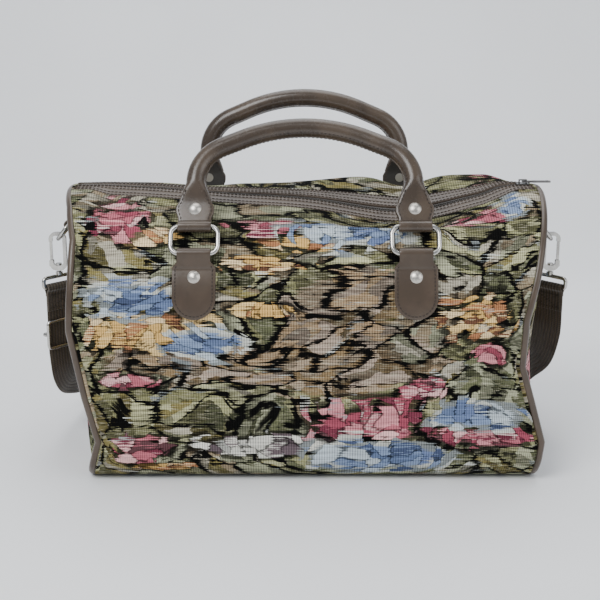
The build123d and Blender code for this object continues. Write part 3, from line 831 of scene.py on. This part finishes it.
@dataclass
class BagShell:
    """The tapestry shell: the wrap, the two end panels, their piping and the base board."""

    thickness: float = 0.0025
    columns: int = 168
    around: int = 250
    end_around: int = 200
    end_rings: int = 40
    end_middle: float = 0.118
    wrap_edge: float = 0.0172
    piping: float = 0.0035
    skin: float = 0.0002
    board_reach: float = 0.175
    belly: tuple = ((0.0, 0.190), (0.05, 0.190), (0.10, 0.193), (0.15, 0.198), (0.20, 0.1998),
                    (0.235, 0.1998))
    flowers: tuple = (
        Flower("gold", -0.125, 0.131, 0.045, 0.017), Flower("blue", -0.144, 0.158, 0.030, 0.011),
        Flower("blue", -0.083, 0.121, 0.022, 0.010), Flower("pink", -0.155, 0.215, 0.020, 0.012),
        Flower("gold", -0.128, 0.203, 0.020, 0.006), Flower("pink", -0.026, 0.212, 0.030, 0.007),
        Flower("blue", 0.035, 0.208, 0.035, 0.010), Flower("gold", 0.010, 0.200, 0.035, 0.006),
        Flower("gold", -0.031, 0.183, 0.028, 0.005), Flower("gold", -0.035, 0.148, 0.022, 0.005),
        Flower("gold", 0.145, 0.140, 0.028, 0.018), Flower("pink", 0.158, 0.110, 0.014, 0.008),
        Flower("pink", 0.055, 0.052, 0.042, 0.015), Flower("pink", 0.098, 0.080, 0.014, 0.008),
        Flower("blue", 0.145, 0.060, 0.032, 0.009), Flower("pink", 0.150, 0.042, 0.036, 0.010),
        Flower("blue", 0.060, 0.024, 0.040, 0.011), Flower("pink", -0.140, 0.030, 0.024, 0.011),
        Flower("gold", -0.118, 0.014, 0.026, 0.004), Flower("pink", -0.145, 0.088, 0.022, 0.006),
        Flower("cream", -0.030, 0.035, 0.050, 0.008), Flower("brown", 0.025, 0.100, 0.055, 0.028),
        Flower("brown", 0.035, 0.155, 0.038, 0.017), Flower("brown", -0.092, 0.103, 0.050, 0.012),
        Flower("blue", 0.175, 0.225, 0.010, 0.006), Flower("pink", 0.150, 0.222, 0.030, 0.006))
    end_flowers: tuple = (
        Flower("blue", 0.045, 0.150, 0.030, 0.016), Flower("gold", 0.010, 0.125, 0.026, 0.012),
        Flower("pink", -0.050, 0.090, 0.028, 0.014), Flower("blue", -0.040, 0.040, 0.030, 0.012),
        Flower("pink", 0.050, 0.040, 0.024, 0.012), Flower("gold", -0.030, 0.190, 0.022, 0.008),
        Flower("brown", 0.010, 0.075, 0.040, 0.016))

    def build(self) -> list:
        """Make every piece of the shell."""
        pieces = [self.wrap(), self.board()]
        for end, sign in ENDS.items():
            pieces += [self.end_panel(end, sign), self.cord(end, sign)]
        return pieces

    def paint_flowers(self, piece: bpy.types.Object, flowers: tuple, x: Points,
                      z: Points) -> None:
        """Write each flower colour's strength at every vertex."""
        for colour in ("pink", "blue", "gold", "brown", "cream"):
            strength = np.zeros(len(x))
            for flower in flowers:
                if flower.colour == colour:
                    far = np.hypot((x - flower.x) / flower.wide, (z - flower.z) / flower.high)
                    strength = np.maximum(strength, np.clip(1.5 - 0.75 * far, 0, 1.5))
            layer = piece.data.attributes.new(colour, "FLOAT", "POINT")
            layer.data.foreach_set("value", strength)

    def wrap(self) -> bpy.types.Object:
        """The panel that runs up the front, under the base and up the back."""
        path, along = slump.section(0, self.wrap_edge, self.around)
        x = np.linspace(-slump.half_length, slump.half_length, self.columns)
        nominal = np.repeat(path[:, None], self.columns, axis=1)
        nominal[..., 0] = x[None]
        uv = np.stack([np.broadcast_to(x, nominal.shape[:2]),
                       np.broadcast_to(along[:, None], nominal.shape[:2])], axis=-1)
        piece = mesh_object("tapestry_wrap", slump.settle(nominal).reshape(-1, 3),
                            grid_faces(self.around, self.columns, flip=True), uv.reshape(-1, 2))
        flat = nominal.reshape(-1, 3)
        front = flat[:, 1] < 0
        self.paint_flowers(piece, self.flowers, np.where(front, flat[:, 0], -flat[:, 0]),
                           np.where(flat[:, 2] < 0.001, NO_FLOWERS, flat[:, 2]))
        self.thicken(piece)
        paint.coat(piece, Finish.TAPESTRY)
        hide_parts("body_panel")
        return self.settled(piece, "tapestry")

    def end_panel(self, end: str, sign: int) -> bpy.types.Object:
        """One end of the shell, drawn in at its edge and fuller in the middle."""
        path, _ = slump.section(0, TOP_LINE, self.end_around)
        outline = path[:, 1:]
        middle = np.array([0.0, self.end_middle])
        steps = np.linspace(1, 0.0, self.end_rings) ** 0.8
        rings = middle + (outline[None] - middle) * steps[:, None, None]
        edge_x = slump.edge(np.full(self.end_around, float(sign)), outline[:, 1])
        belly_x = np.interp(rings[..., 1], *zip(*self.belly))
        lift = 1 - steps[:, None] ** 3
        depth = edge_x[None] + (belly_x - edge_x[None]) * lift
        points = np.stack([depth * sign, rings[..., 0], rings[..., 1]], axis=-1)
        uv = rings.reshape(-1, 2) + (0.9 + 0.3 * sign, 0.35)
        faces = grid_faces(self.end_rings, self.end_around, wrap=True, flip=sign > 0)
        piece = mesh_object(f"{end}_tapestry_end", points.reshape(-1, 3), faces, uv)
        flat = rings.reshape(-1, 2)
        self.paint_flowers(piece, self.end_flowers, flat[:, 0] * sign, flat[:, 1])
        mend(piece)
        if sum(face.normal.x * face.area for face in piece.data.polygons) * sign < 0:
            piece.data.flip_normals()
        self.thicken(piece)
        paint.coat(piece, Finish.TAPESTRY)
        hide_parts(f"{end}_end_panel")
        return self.settled(piece, "tapestry")

    def cord(self, end: str, sign: int) -> bpy.types.Object:
        """The leather piping round one end."""
        path, _ = slump.section(self.piping + self.skin, TOP_LINE, 260)
        path = path[1:-1].copy()
        path[:, 0] = sign * slump.edge(np.full(len(path), float(sign)), path[:, 2])
        path[:, 0] += sign * (self.piping - 0.0006)
        piece = tube(f"{end}_leather_piping", path, self.piping, 14, closed=True, start=(1, 0, 0))
        paint.coat(piece, Finish.LEATHER)
        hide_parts(f"{end}_piping")
        return self.settled(piece, "trim_leather")

    def board(self) -> bpy.types.Object:
        """The stiffener that lies inside on the base, with its corners cut round."""
        low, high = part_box("base_board")
        outline = rounded_loop(2 * self.board_reach, high.y - low.y - 0.006, 0.020)
        rings = [outline + (0, 0, low.z + self.skin), outline + (0, 0, high.z)]
        piece = loft("stiffening_board", np.array(rings))
        paint.coat(piece, Finish.BOARD)
        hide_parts("base_board")
        return self.settled(piece, "board")

    def thicken(self, piece: bpy.types.Object) -> None:
        """Give a cloth surface its thickness, inwards."""
        solid = piece.modifiers.new("thickness", "SOLIDIFY")
        solid.thickness = self.thickness
        solid.offset = -1

    @staticmethod
    def settled(piece: bpy.types.Object, slot: str) -> bpy.types.Object:
        """Let a piece ride with the bag."""
        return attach(piece, "bag")


# ---- zip ----------------------------------------------------------------------------
@dataclass
class ZipTop:
    """The zip along the top: leather bindings with stitching, tapes and coil."""

    half_slot: float = 0.018
    half_zip: float = 0.0055
    rise: float = 0.0008
    half_reach: float = 0.1965
    pitch: float = 0.0016

    def run(self, y: float, lift: float, count: int = 160) -> Points:
        """A line along the bag, at a distance from the middle and above the dome."""
        radius = slump.depth / 2
        x = np.linspace(-self.half_reach, self.half_reach, count)
        z = slump.dome_z + math.sqrt(radius ** 2 - y ** 2) + lift
        return slump.settle(np.stack([x, np.full(count, y), np.full(count, z)], axis=1))

    def strip(self, name: str, inner: float, outer: float, top: float, bottom: float,
              ribs: float = 0.0) -> bpy.types.Object:
        """A strip along the bag between two distances from the middle, with sunk seams."""
        shares = np.linspace(0.02, 0.98, 25)
        ways = [self.run(inner + (outer - inner) * share, bottom) for share in shares[::4]]
        ways += [self.run(outer + (inner - outer) * share,
                          top - ribs * abs(math.sin(share * 3 * math.pi)) ** 0.5)
                 for share in shares]
        return loft(name, np.array(ways).transpose(1, 0, 2))

    def build(self) -> list:
        """Make the bindings, tapes, coil and stitching, and dress the slider."""
        pieces = []
        for side, sign in SIDES.items():
            binding = self.strip(f"{side}_zip_leather", sign * self.half_zip,
                                 sign * self.half_slot, self.rise, -0.0022, 0.0007)
            paint.coat(binding, Finish.LEATHER)
            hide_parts(f"{side}_zip_binding")
            tape = self.strip(f"{side}_zip_cloth", sign * 0.0004, sign * self.half_zip,
                              -0.0013, -0.0023)
            paint.coat(tape, Finish.ZIP_TAPE)
            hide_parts(f"{side}_zip_tape")
            teeth = rows.row(f"{side}_zip_coil", [self.run(sign * 0.0018, -0.0007, 300)],
                             self.pitch, (0.0012, 0.0030, 0.0013), Finish.COIL)
            seams = [self.run(sign * y, self.rise - 0.0002, 240)
                     for y in (self.half_zip + share * (self.half_slot - self.half_zip)
                               for share in (0.06, 1 / 3, 2 / 3, 0.94))]
            thread = rows.row(f"{side}_zip_stitches", seams, 0.0032,
                              (0.0026, 0.0010, 0.0007), Finish.THREAD)
            pieces += [binding, tape, teeth, thread]
        for piece in pieces:
            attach(piece, "bag")
        for node in ("zip_slider", "zip_pull"):
            paint.coat(frame["nodes"][node], Finish.GUNMETAL)
        return pieces


# ---- handles ------------------------------------------------------------------------
@dataclass
class HandleSet:
    """One side's handle with its two tabs and rings."""

    side: str
    lean: float
    span: float = 0.178
    rise: float = 0.100
    shoulder: float = 0.062
    grip: float = 0.0079
    leather: float = 0.0022
    tab_width: float = 0.035
    tab_neck: float = 0.027
    tab_length: float = 0.052
    tab_angle: float = 33.0
    skin: float = 0.0002
    wrap: float = 0.00355
    end_width: float = 0.027
    end_swell: float = 0.004
    seam_inset: float = 0.0026
    seam_turn: float = 0.62
    lining: float = 0.0007
    welt: float = 0.0009
    shoulder_bend: float = 0.0348
    peak_bend: float = 0.130

    @property
    def sign(self) -> int:
        """The side's direction along Y."""
        return SIDES[self.side]

    def build(self) -> list:
        """Make the tabs, the handle, the stitching and the rivets' shine."""
        tabs = [self.tab(end, sign) for end, sign in ENDS.items()]
        pieces = [piece for group in tabs for piece in group]
        pieces += self.handle()
        for end in ENDS:
            paint.coat(frame["nodes"][f"{self.side}_{end}_ring"], Finish.NICKEL)
        paint.coat(frame["nodes"][f"{self.side}_handle_rivets"], Finish.RIVET)
        return pieces

    def tab(self, end: str, way: int) -> list:
        """A leather tab on the shell, looped round its ring's lower bar.

        Args:
            end: Which end of the bag it is nearer.
            way: That end's direction along X.

        Returns:
            The tab and its stitching.
        """
        radius = slump.depth / 2 + self.skin + self.leather / 2
        bar_radius = radius + self.wrap
        top = math.radians(self.tab_angle)
        bar = np.array([self.sign * bar_radius * math.cos(top),
                        slump.dome_z + bar_radius * math.sin(top)])
        out = np.array([self.sign * math.cos(top), math.sin(top)])
        up = np.array([-self.sign * math.sin(top), math.cos(top)])
        down = np.linspace(self.tab_length, 0.010, 60)
        turn = top - down / (slump.depth / 2)
        lifted = radius + 0.0001 + (2 * self.wrap) * smooth(0.0128, 0.003, down)
        lower = np.stack([self.sign * lifted * np.cos(turn),
                          slump.dome_z + lifted * np.sin(turn)], axis=1)
        round_turn = np.linspace(math.radians(-18), math.radians(205), 36)
        loop = bar + self.wrap * (np.outer(np.cos(round_turn), out)
                                  + np.outer(np.sin(round_turn), up))
        flat = np.concatenate([lower, loop])
        path = np.insert(flat, 0, way * self.span / 2, axis=1)
        path = resample(path, 130)
        along = arc_lengths(path)
        half = self.tab_width / 2
        width = np.where(along < half, 2 * np.sqrt(np.maximum(half ** 2 - (half - along) ** 2,
                                                              1e-7)), self.tab_width)
        neck = smooth(self.tab_length - 0.0105, self.tab_length - 0.0040, along)
        width = width + (self.tab_neck - self.tab_width) * neck
        across = np.tile([1.0, 0, 0], (len(path), 1))
        thick = np.full(len(path), self.leather) * (0.75 + 0.25 * smooth(0, 0.0015, along))
        piece = band(f"{self.side}_{end}_leather_tab", path, across, width, thick, edge=7.0)
        paint.coat(piece, Finish.LEATHER)
        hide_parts(f"{self.side}_{end}_tab")
        out3 = unit(np.cross(tangents(path), across))
        if out3[0][1] * self.sign < 0:
            out3 = -out3
        face = path + out3 * (self.leather / 2 + 0.00005)
        sewn = (along > self.seam_inset) & (along < self.tab_length - 0.0085)
        inner = np.sqrt(np.maximum((half - self.seam_inset) ** 2
                                   - np.maximum(half - along, 0) ** 2, 0))
        inner += (self.tab_neck - self.tab_width) / 2 * neck
        edge_line = [face[sewn] + across[sewn] * (side * inner[sewn])[:, None]
                     for side in (-1, 1)]
        seam = np.concatenate([edge_line[0][::-1], edge_line[1]])
        thread = rows.row(f"{self.side}_{end}_tab_stitches", [resample(seam, 240)], STITCH_STEP,
                          STITCH, Finish.THREAD)
        return [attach(piece, "bag"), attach(thread, "bag")]

    def plane(self) -> tuple[Points, Points, Points, Points]:
        """The handle's plane: its origin on the rings' bars, and its three directions."""
        joint = next(j for j in frame["joints"] if j["name"] == f"{self.side}_handle_swing")
        origin = np.array([0.0, joint["pos_m"][1], joint["pos_m"][2]])
        turn = math.radians(self.lean)
        up = np.array([0.0, -self.sign * math.sin(turn), math.cos(turn)])
        face = np.array([0.0, -up[2], up[1]])
        return origin, np.array([1.0, 0, 0]), up, face

    def grip_line(self, count: int = 220) -> Points:
        """The handle's middle line in its own plane, from one ring's bar to the other's."""
        half = self.span / 2
        bend, crown_bend = self.shoulder_bend, self.peak_bend
        slope = math.atan2(self.rise - self.shoulder, half)
        cut = bend * math.tan((math.pi / 2 - slope) / 2)
        corners = [(-half, 0.0), (-half, self.shoulder - cut)]
        centre = np.array([-half + bend, self.shoulder - cut])
        corners += [tuple(centre + bend * np.array([-math.cos(a), math.sin(a)]))
                    for a in np.linspace(0.05, math.pi / 2 - slope, 14)]
        peak = np.array([0.0, self.rise - crown_bend / math.cos(slope)])
        corners += [tuple(peak + crown_bend * np.array([math.sin(a), math.cos(a)]))
                    for a in np.linspace(-slope, 0, 14)]
        left = np.array(corners)
        right = left[:-1][::-1] * (-1, 1)
        line = np.concatenate([left, right])
        return resample(np.insert(line, 2, 0.0, axis=1), count)

    def handle(self) -> list:
        """The rolled grip with its flat ends, its seam and its stitching."""
        origin, across, up, face = self.plane()
        flat = self.grip_line(320)
        along = arc_lengths(flat)
        ends = np.minimum(along, along[-1] - along)
        line = placed(flat, origin, across, up)
        direction = tangents(line)
        side = unit(np.cross(face, direction))
        keep = ends > 0.0030
        line, side, ends, along = line[keep], side[keep], ends[keep], along[keep]
        rolled = smooth(0.017, 0.040, ends)
        swell = smooth(0.006, 0.013, ends) * (1 - smooth(0.016, 0.022, ends))
        width = self.end_width + self.end_swell * swell
        width = width * (1 - rolled) + 2 * self.grip * rolled
        filled = smooth(0.018, 0.042, ends)
        thick = 2 * self.leather * (1 - filled) + 2 * self.grip * filled
        boxy = 7.0 * (1 - rolled) + 2.0 * rolled
        turn = np.arange(40) * TAU / 40
        wide = np.sign(np.cos(turn)) * np.abs(np.cos(turn)) ** (2 / boxy[:, None])
        deep = np.sign(np.sin(turn)) * np.abs(np.sin(turn)) ** (2 / boxy[:, None])
        rings = (line[:, None] + side[:, None] * (wide * width[:, None] / 2)[..., None]
                 + face * (deep * thick[:, None] / 2)[..., None])
        body = f"{self.side}_handle"
        grip = paint.coat(loft(f"{self.side}_rolled_handle", rings), Finish.GRIP)
        parts = [grip]
        for way in ENDS.values():
            turns = np.linspace(math.radians(38), math.radians(322), 40)
            circle = np.stack([np.full(40, way * self.span / 2), self.wrap * np.cos(turns),
                               self.wrap * np.sin(turns)], axis=1)
            path = origin + circle[:, :1] * across + circle[:, 1:2] * up + circle[:, 2:] * face
            eye = band("loop", path, np.tile(across, (40, 1)), np.full(40, self.end_width),
                       np.full(40, self.leather), edge=7.0)
            parts.append(paint.coat(eye, Finish.GRIP))
        grip = joined(f"{self.side}_rolled_handle", parts)
        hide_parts(f"{self.side}_handle")
        linings = self.linings(line, side, ends, width, thick, across, face)
        inward = -side if side[len(side) // 2] @ up > 0 else side
        seamed = ends > 0.020
        welt = line + inward * (width[:, None] / 2 - 0.0003)
        welt = paint.coat(tube(f"{self.side}_handle_seam", welt[seamed], self.welt, 8,
                               start=tuple(face)), Finish.GRIP)
        seams = []
        for proud in (-1, 1):
            offset = (inward * (width[:, None] / 2 * math.cos(self.seam_turn))
                      + face * (proud * thick[:, None] / 2 * math.sin(self.seam_turn)))
            seams.append((line + offset * 1.005)[seamed])
        for way in (-1, 1):
            part = (ends > 0.006) & (ends < 0.030) & ((line @ across) * way > 0)
            for edge in (-1, 1):
                for proud in (-1, 1):
                    inset = width[part, None] / 2 - STITCH_INSET
                    seams.append(line[part] + side[part] * edge * inset
                                 + face * (proud * (thick[part, None] / 2 + 0.0001)))
        thread = rows.row(f"{self.side}_handle_stitches", seams, 0.0034,
                          (0.0027, 0.0010, 0.0009), Finish.THREAD)
        return [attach(piece, body) for piece in (grip, welt, thread, *linings)]

    def linings(self, line: Points, side: Points, ends: Points, width: Points, thick: Points,
                across: Points, face: Points) -> list:
        """The dark raw face of each flat end, on the side towards the middle of the bag."""
        inward = face * (1 if face[1] * self.sign < 0 else -1)
        pieces = []
        for end, way in ENDS.items():
            part = (ends > 0.0065) & (ends < 0.031) & ((line @ across) * way > 0)
            path = line[part] + inward * (thick[part, None] / 2)
            piece = band(f"{self.side}_{end}_handle_lining", path, side[part],
                         width[part] * (0.93 - 0.35 * smooth(0.024, 0.031, ends[part])),
                         np.full(int(part.sum()), self.lining), edge=8.0)
            paint.coat(piece, Finish.INSIDE)
            pieces.append(piece)
        return pieces


# ---- end fittings and shoulder strap ------------------------------------------------
@dataclass
class EndFittings:
    """One end's leather tab with the D-ring, swivel hook, gate and eye below it."""

    end: str
    leather: float = 0.0022
    width: float = 0.019
    top: float = 0.226
    bar_x: float = 0.2044
    bar_z: float = 0.201
    wrap: float = 0.0031

    def build(self) -> list:
        """Make the tab and its stitching, and polish the metal."""
        way = ENDS[self.end]
        face = self.bar_x - self.wrap
        turns = np.radians(np.linspace(180, 475, 40))
        plate = [(face, z) for z in np.linspace(self.top, self.bar_z + 0.0008, 22)]
        loop = [(self.bar_x + self.wrap * math.cos(t), self.bar_z + self.wrap * math.sin(t))
                for t in turns]
        flat = np.array(plate + loop)
        path = resample(np.stack([way * flat[:, 0], np.zeros(len(flat)), flat[:, 1]], axis=1), 80)
        across = np.tile([0.0, 1.0, 0.0], (80, 1))
        tab = band(f"{self.end}_end_leather", path, across, np.full(80, self.width),
                   np.full(80, self.leather), edge=7.0)
        paint.coat(tab, Finish.LEATHER)
        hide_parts(f"{self.end}_end_tab")
        outer = way * (face + self.leather / 2 + 0.0001)
        half = self.width / 2 - STITCH_INSET
        seam = np.array([(outer, -half, self.bar_z + 0.006), (outer, -half, self.top - 0.003),
                         (outer, half, self.top - 0.003), (outer, half, self.bar_z + 0.006)])
        thread = rows.row(f"{self.end}_end_stitches", [resample(seam, 60)], STITCH_STEP,
                          STITCH, Finish.THREAD)
        for part in ("d_ring", "hook", "hook_gate", "hook_eye"):
            paint.coat(frame["nodes"][f"{self.end}_{part}"], Finish.NICKEL)
        return [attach(tab, "bag"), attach(thread, "bag")]


@dataclass
class ShoulderStrap:
    """The ribbed webbing strap, looped and sewn at both eyes, lying behind the bag."""

    width: float = 0.030
    thickness: float = 0.0016
    hook_x: float = 0.21627
    bar_z: float = 0.1453
    bar_radius: float = 0.0017
    clearance: float = 0.0003
    sewn: float = 0.018
    turn: float = 50.0

    @property
    def eye_side(self) -> Points:
        """The direction across the webbing at the left eye."""
        turn = math.radians(self.turn)
        return np.array([math.cos(turn), math.sin(turn), 0.0])

    def route(self) -> tuple[Points, Points]:
        """The webbing's middle line from eye to eye, and its direction across."""
        hang, rest, x = self.bar_z - 0.004, 0.001, self.hook_x
        left = tuple(self.eye_side)
        right = (-left[0], left[1], 0.0)
        stops = [
            ((-x, 0, hang), left), ((-x, 0, hang - 0.018), left),
            ((-x, 0, hang - 0.036), left), ((-x, 0, hang - 0.054), left),
            ((-x, 0.004, hang - 0.072), (0.55, 0.85, 0.10)),
            ((-x, 0.024, 0.052), (0.40, 0.85, 0.35)),
            ((-x - 0.001, 0.062, 0.040), (0.15, 0.80, 0.60)),
            ((-x + 0.004, 0.106, 0.026), (0.25, 0.80, 0.50)),
            ((-x + 0.032, 0.138, 0.011), (-0.25, 0.95, 0.20)),
            ((-x + 0.078, 0.146, rest), (-0.10, 1.0, 0)),
            ((-0.070, 0.142, rest), (0, 1.0, 0)), ((0, 0.136, rest), (-0.06, 1.0, 0)),
            ((0.070, 0.139, rest), (0, 1.0, 0)),
            ((x - 0.078, 0.148, rest), (0.10, 1.0, 0)),
            ((x - 0.032, 0.140, 0.013), (0.25, 0.95, 0.22)),
            ((x - 0.004, 0.108, 0.034), (-0.25, 0.80, 0.50)),
            ((x + 0.001, 0.064, 0.056), (-0.15, 0.80, 0.60)),
            ((x + 0.001, 0.024, 0.080), (-0.45, 0.85, 0.25)),
            ((x, 0.003, hang - 0.034), right), ((x, 0, hang - 0.016), right),
            ((x, 0, hang), right)]
        line = catmull(np.array([stop[0] for stop in stops]), 14)
        ways = catmull(np.array([stop[1] for stop in stops]), 14)
        along = tangents(line)
        ways = unit(ways - along * np.sum(ways * along, axis=1, keepdims=True))
        return line, ways

    def build(self) -> list:
        """Make the webbing, its two sewn loops, the stitching and the slide's polish."""
        line, ways = self.route()
        parts = [band("webbing", line, ways, np.full(len(line), self.width),
                      np.full(len(line), self.thickness), edge=9.0, around=36)]
        seams = []
        for way in ENDS.values():
            side = np.array([-way * self.eye_side[0], self.eye_side[1], 0.0])
            out = np.cross(side, [0.0, 0.0, 1.0])
            out = out if out[1] < 0 else -out
            bar = np.array([way * self.hook_x, 0.0, self.bar_z])
            wrap = self.bar_radius + self.clearance + self.thickness / 2
            turns = np.radians(np.linspace(-52, 232, 44))
            loop = [bar + wrap * (math.cos(t) * out + math.sin(t) * np.array([0, 0, 1.0]))
                    for t in turns]
            start = [bar + out * self.thickness * 0.52 - np.array([0, 0, drop])
                     for drop in np.linspace(self.sewn + wrap, 0.0045, 20)]
            finish = [bar - out * self.thickness * 0.48 - np.array([0, 0, drop])
                      for drop in np.linspace(0.0045, self.sewn * 0.4, 8)]
            path = np.array(start + loop + finish)
            parts.append(band("webbing_loop", path, np.tile(side, (len(path), 1)),
                              np.full(len(path), self.width - 0.0002),
                              np.full(len(path), self.thickness), edge=9.0, around=36))
            face = out * (self.thickness * 1.03 + 0.0001)
            half, low, high = self.width / 2 - 0.003, self.sewn, 0.0065
            box = [(-half, low), (half, low), (half, high), (-half, high), (-half, low),
                   (half, high), (-half, high), (half, low)]
            seams.append(resample(np.array([bar + face + side * a - np.array([0, 0, b])
                                            for a, b in box]), 200))
        for part in parts:
            paint.coat(part, Finish.WEBBING)
        strap = joined("webbing_strap", parts)
        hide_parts("shoulder_strap")
        thread = rows.row("strap_stitches", seams, STITCH_STEP, (0.0023, 0.0007, 0.0006),
                          Finish.THREAD)
        paint.coat(frame["nodes"]["strap_slide"], Finish.NICKEL)
        return [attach(strap, "bag"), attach(thread, "bag")]


# ---- studio -------------------------------------------------------------------------
@dataclass
class Studio:
    """A pale floor that curves up behind, soft lights and the camera."""

    elevation: float = 14.0
    distance: float = 1.02
    aim: tuple = (-0.004, 0.0, 0.132)
    lens: float = 69.0
    floor: Colour = (0.90, 0.91, 0.925)

    def build(self) -> None:
        """Set up the floor, the lights, the world and the camera."""
        path = [(-1.6, 0.0), (0.9, 0.0)]
        path += [(0.9 + 0.5 * math.sin(t), 0.5 - 0.5 * math.cos(t))
                 for t in np.linspace(0.05, math.pi / 2, 20)] + [(1.4, 1.9)]
        points = np.array([(x, y, z) for y, z in path for x in (-2.2, 2.2)])
        floor = mesh_object("studio_floor", points, grid_faces(len(path), 2, flip=True))
        cover = Plain("pale_floor", self.floor, tuple(0.96 * c for c in self.floor), 3.0, 0.65)
        floor.data.materials.append(cover.material())
        for name, place, size, power in (("key", (-0.9, -1.2, 1.7), 1.1, 38.0),
                                         ("fill", (1.4, -0.9, 0.9), 1.2, 10.0),
                                         ("top", (0.1, 0.5, 1.8), 1.4, 18.0)):
            light = bpy.data.lights.new(name, "AREA")
            light.energy = power
            light.size = size
            lamp = bpy.data.objects.new(name, light)
            bpy.context.scene.collection.objects.link(lamp)
            lamp.location = place
            aim = Vector((0, 0, 0.12)) - Vector(place)
            lamp.rotation_euler = aim.to_track_quat("-Z", "Y").to_euler()
        world = bpy.data.worlds.new("soft_room")
        world.use_nodes = True
        world.node_tree.nodes["Background"].inputs[0].default_value = (0.86, 0.92, 1.0, 1)
        world.node_tree.nodes["Background"].inputs[1].default_value = 0.48
        bpy.context.scene.world = world
        camera = bpy.data.cameras.new("view")
        camera.lens = self.lens
        eye = bpy.data.objects.new("view", camera)
        bpy.context.scene.collection.objects.link(eye)
        rise = math.radians(self.elevation)
        aim = Vector(self.aim)
        eye.location = aim + self.distance * Vector((0, -math.cos(rise), math.sin(rise)))
        eye.rotation_euler = (aim - eye.location).to_track_quat("-Z", "Y").to_euler()
        bpy.context.scene.camera = eye


# ---- whole bag ----------------------------------------------------------------------
def report(pieces: list) -> None:
    """Log each piece's name and how many faces it has."""
    for piece in pieces:
        log.info("%s: %d faces", piece.name, len(piece.data.polygons))


def main() -> None:
    """Build the whole bag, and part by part."""
    logging.basicConfig(level=logging.INFO, format="%(name)s %(message)s")
    report(BagShell().build())
    report(ZipTop().build())
    for handle in (HandleSet("front", 33.0), HandleSet("back", -3.0)):
        report(handle.build())
    paint.coat(frame["nodes"]["tab_rivets"], Finish.RIVET)
    for end in ENDS:
        report(EndFittings(end).build())
    report(ShoulderStrap().build())
    Studio().build()


if __name__ == "__main__":
    main()
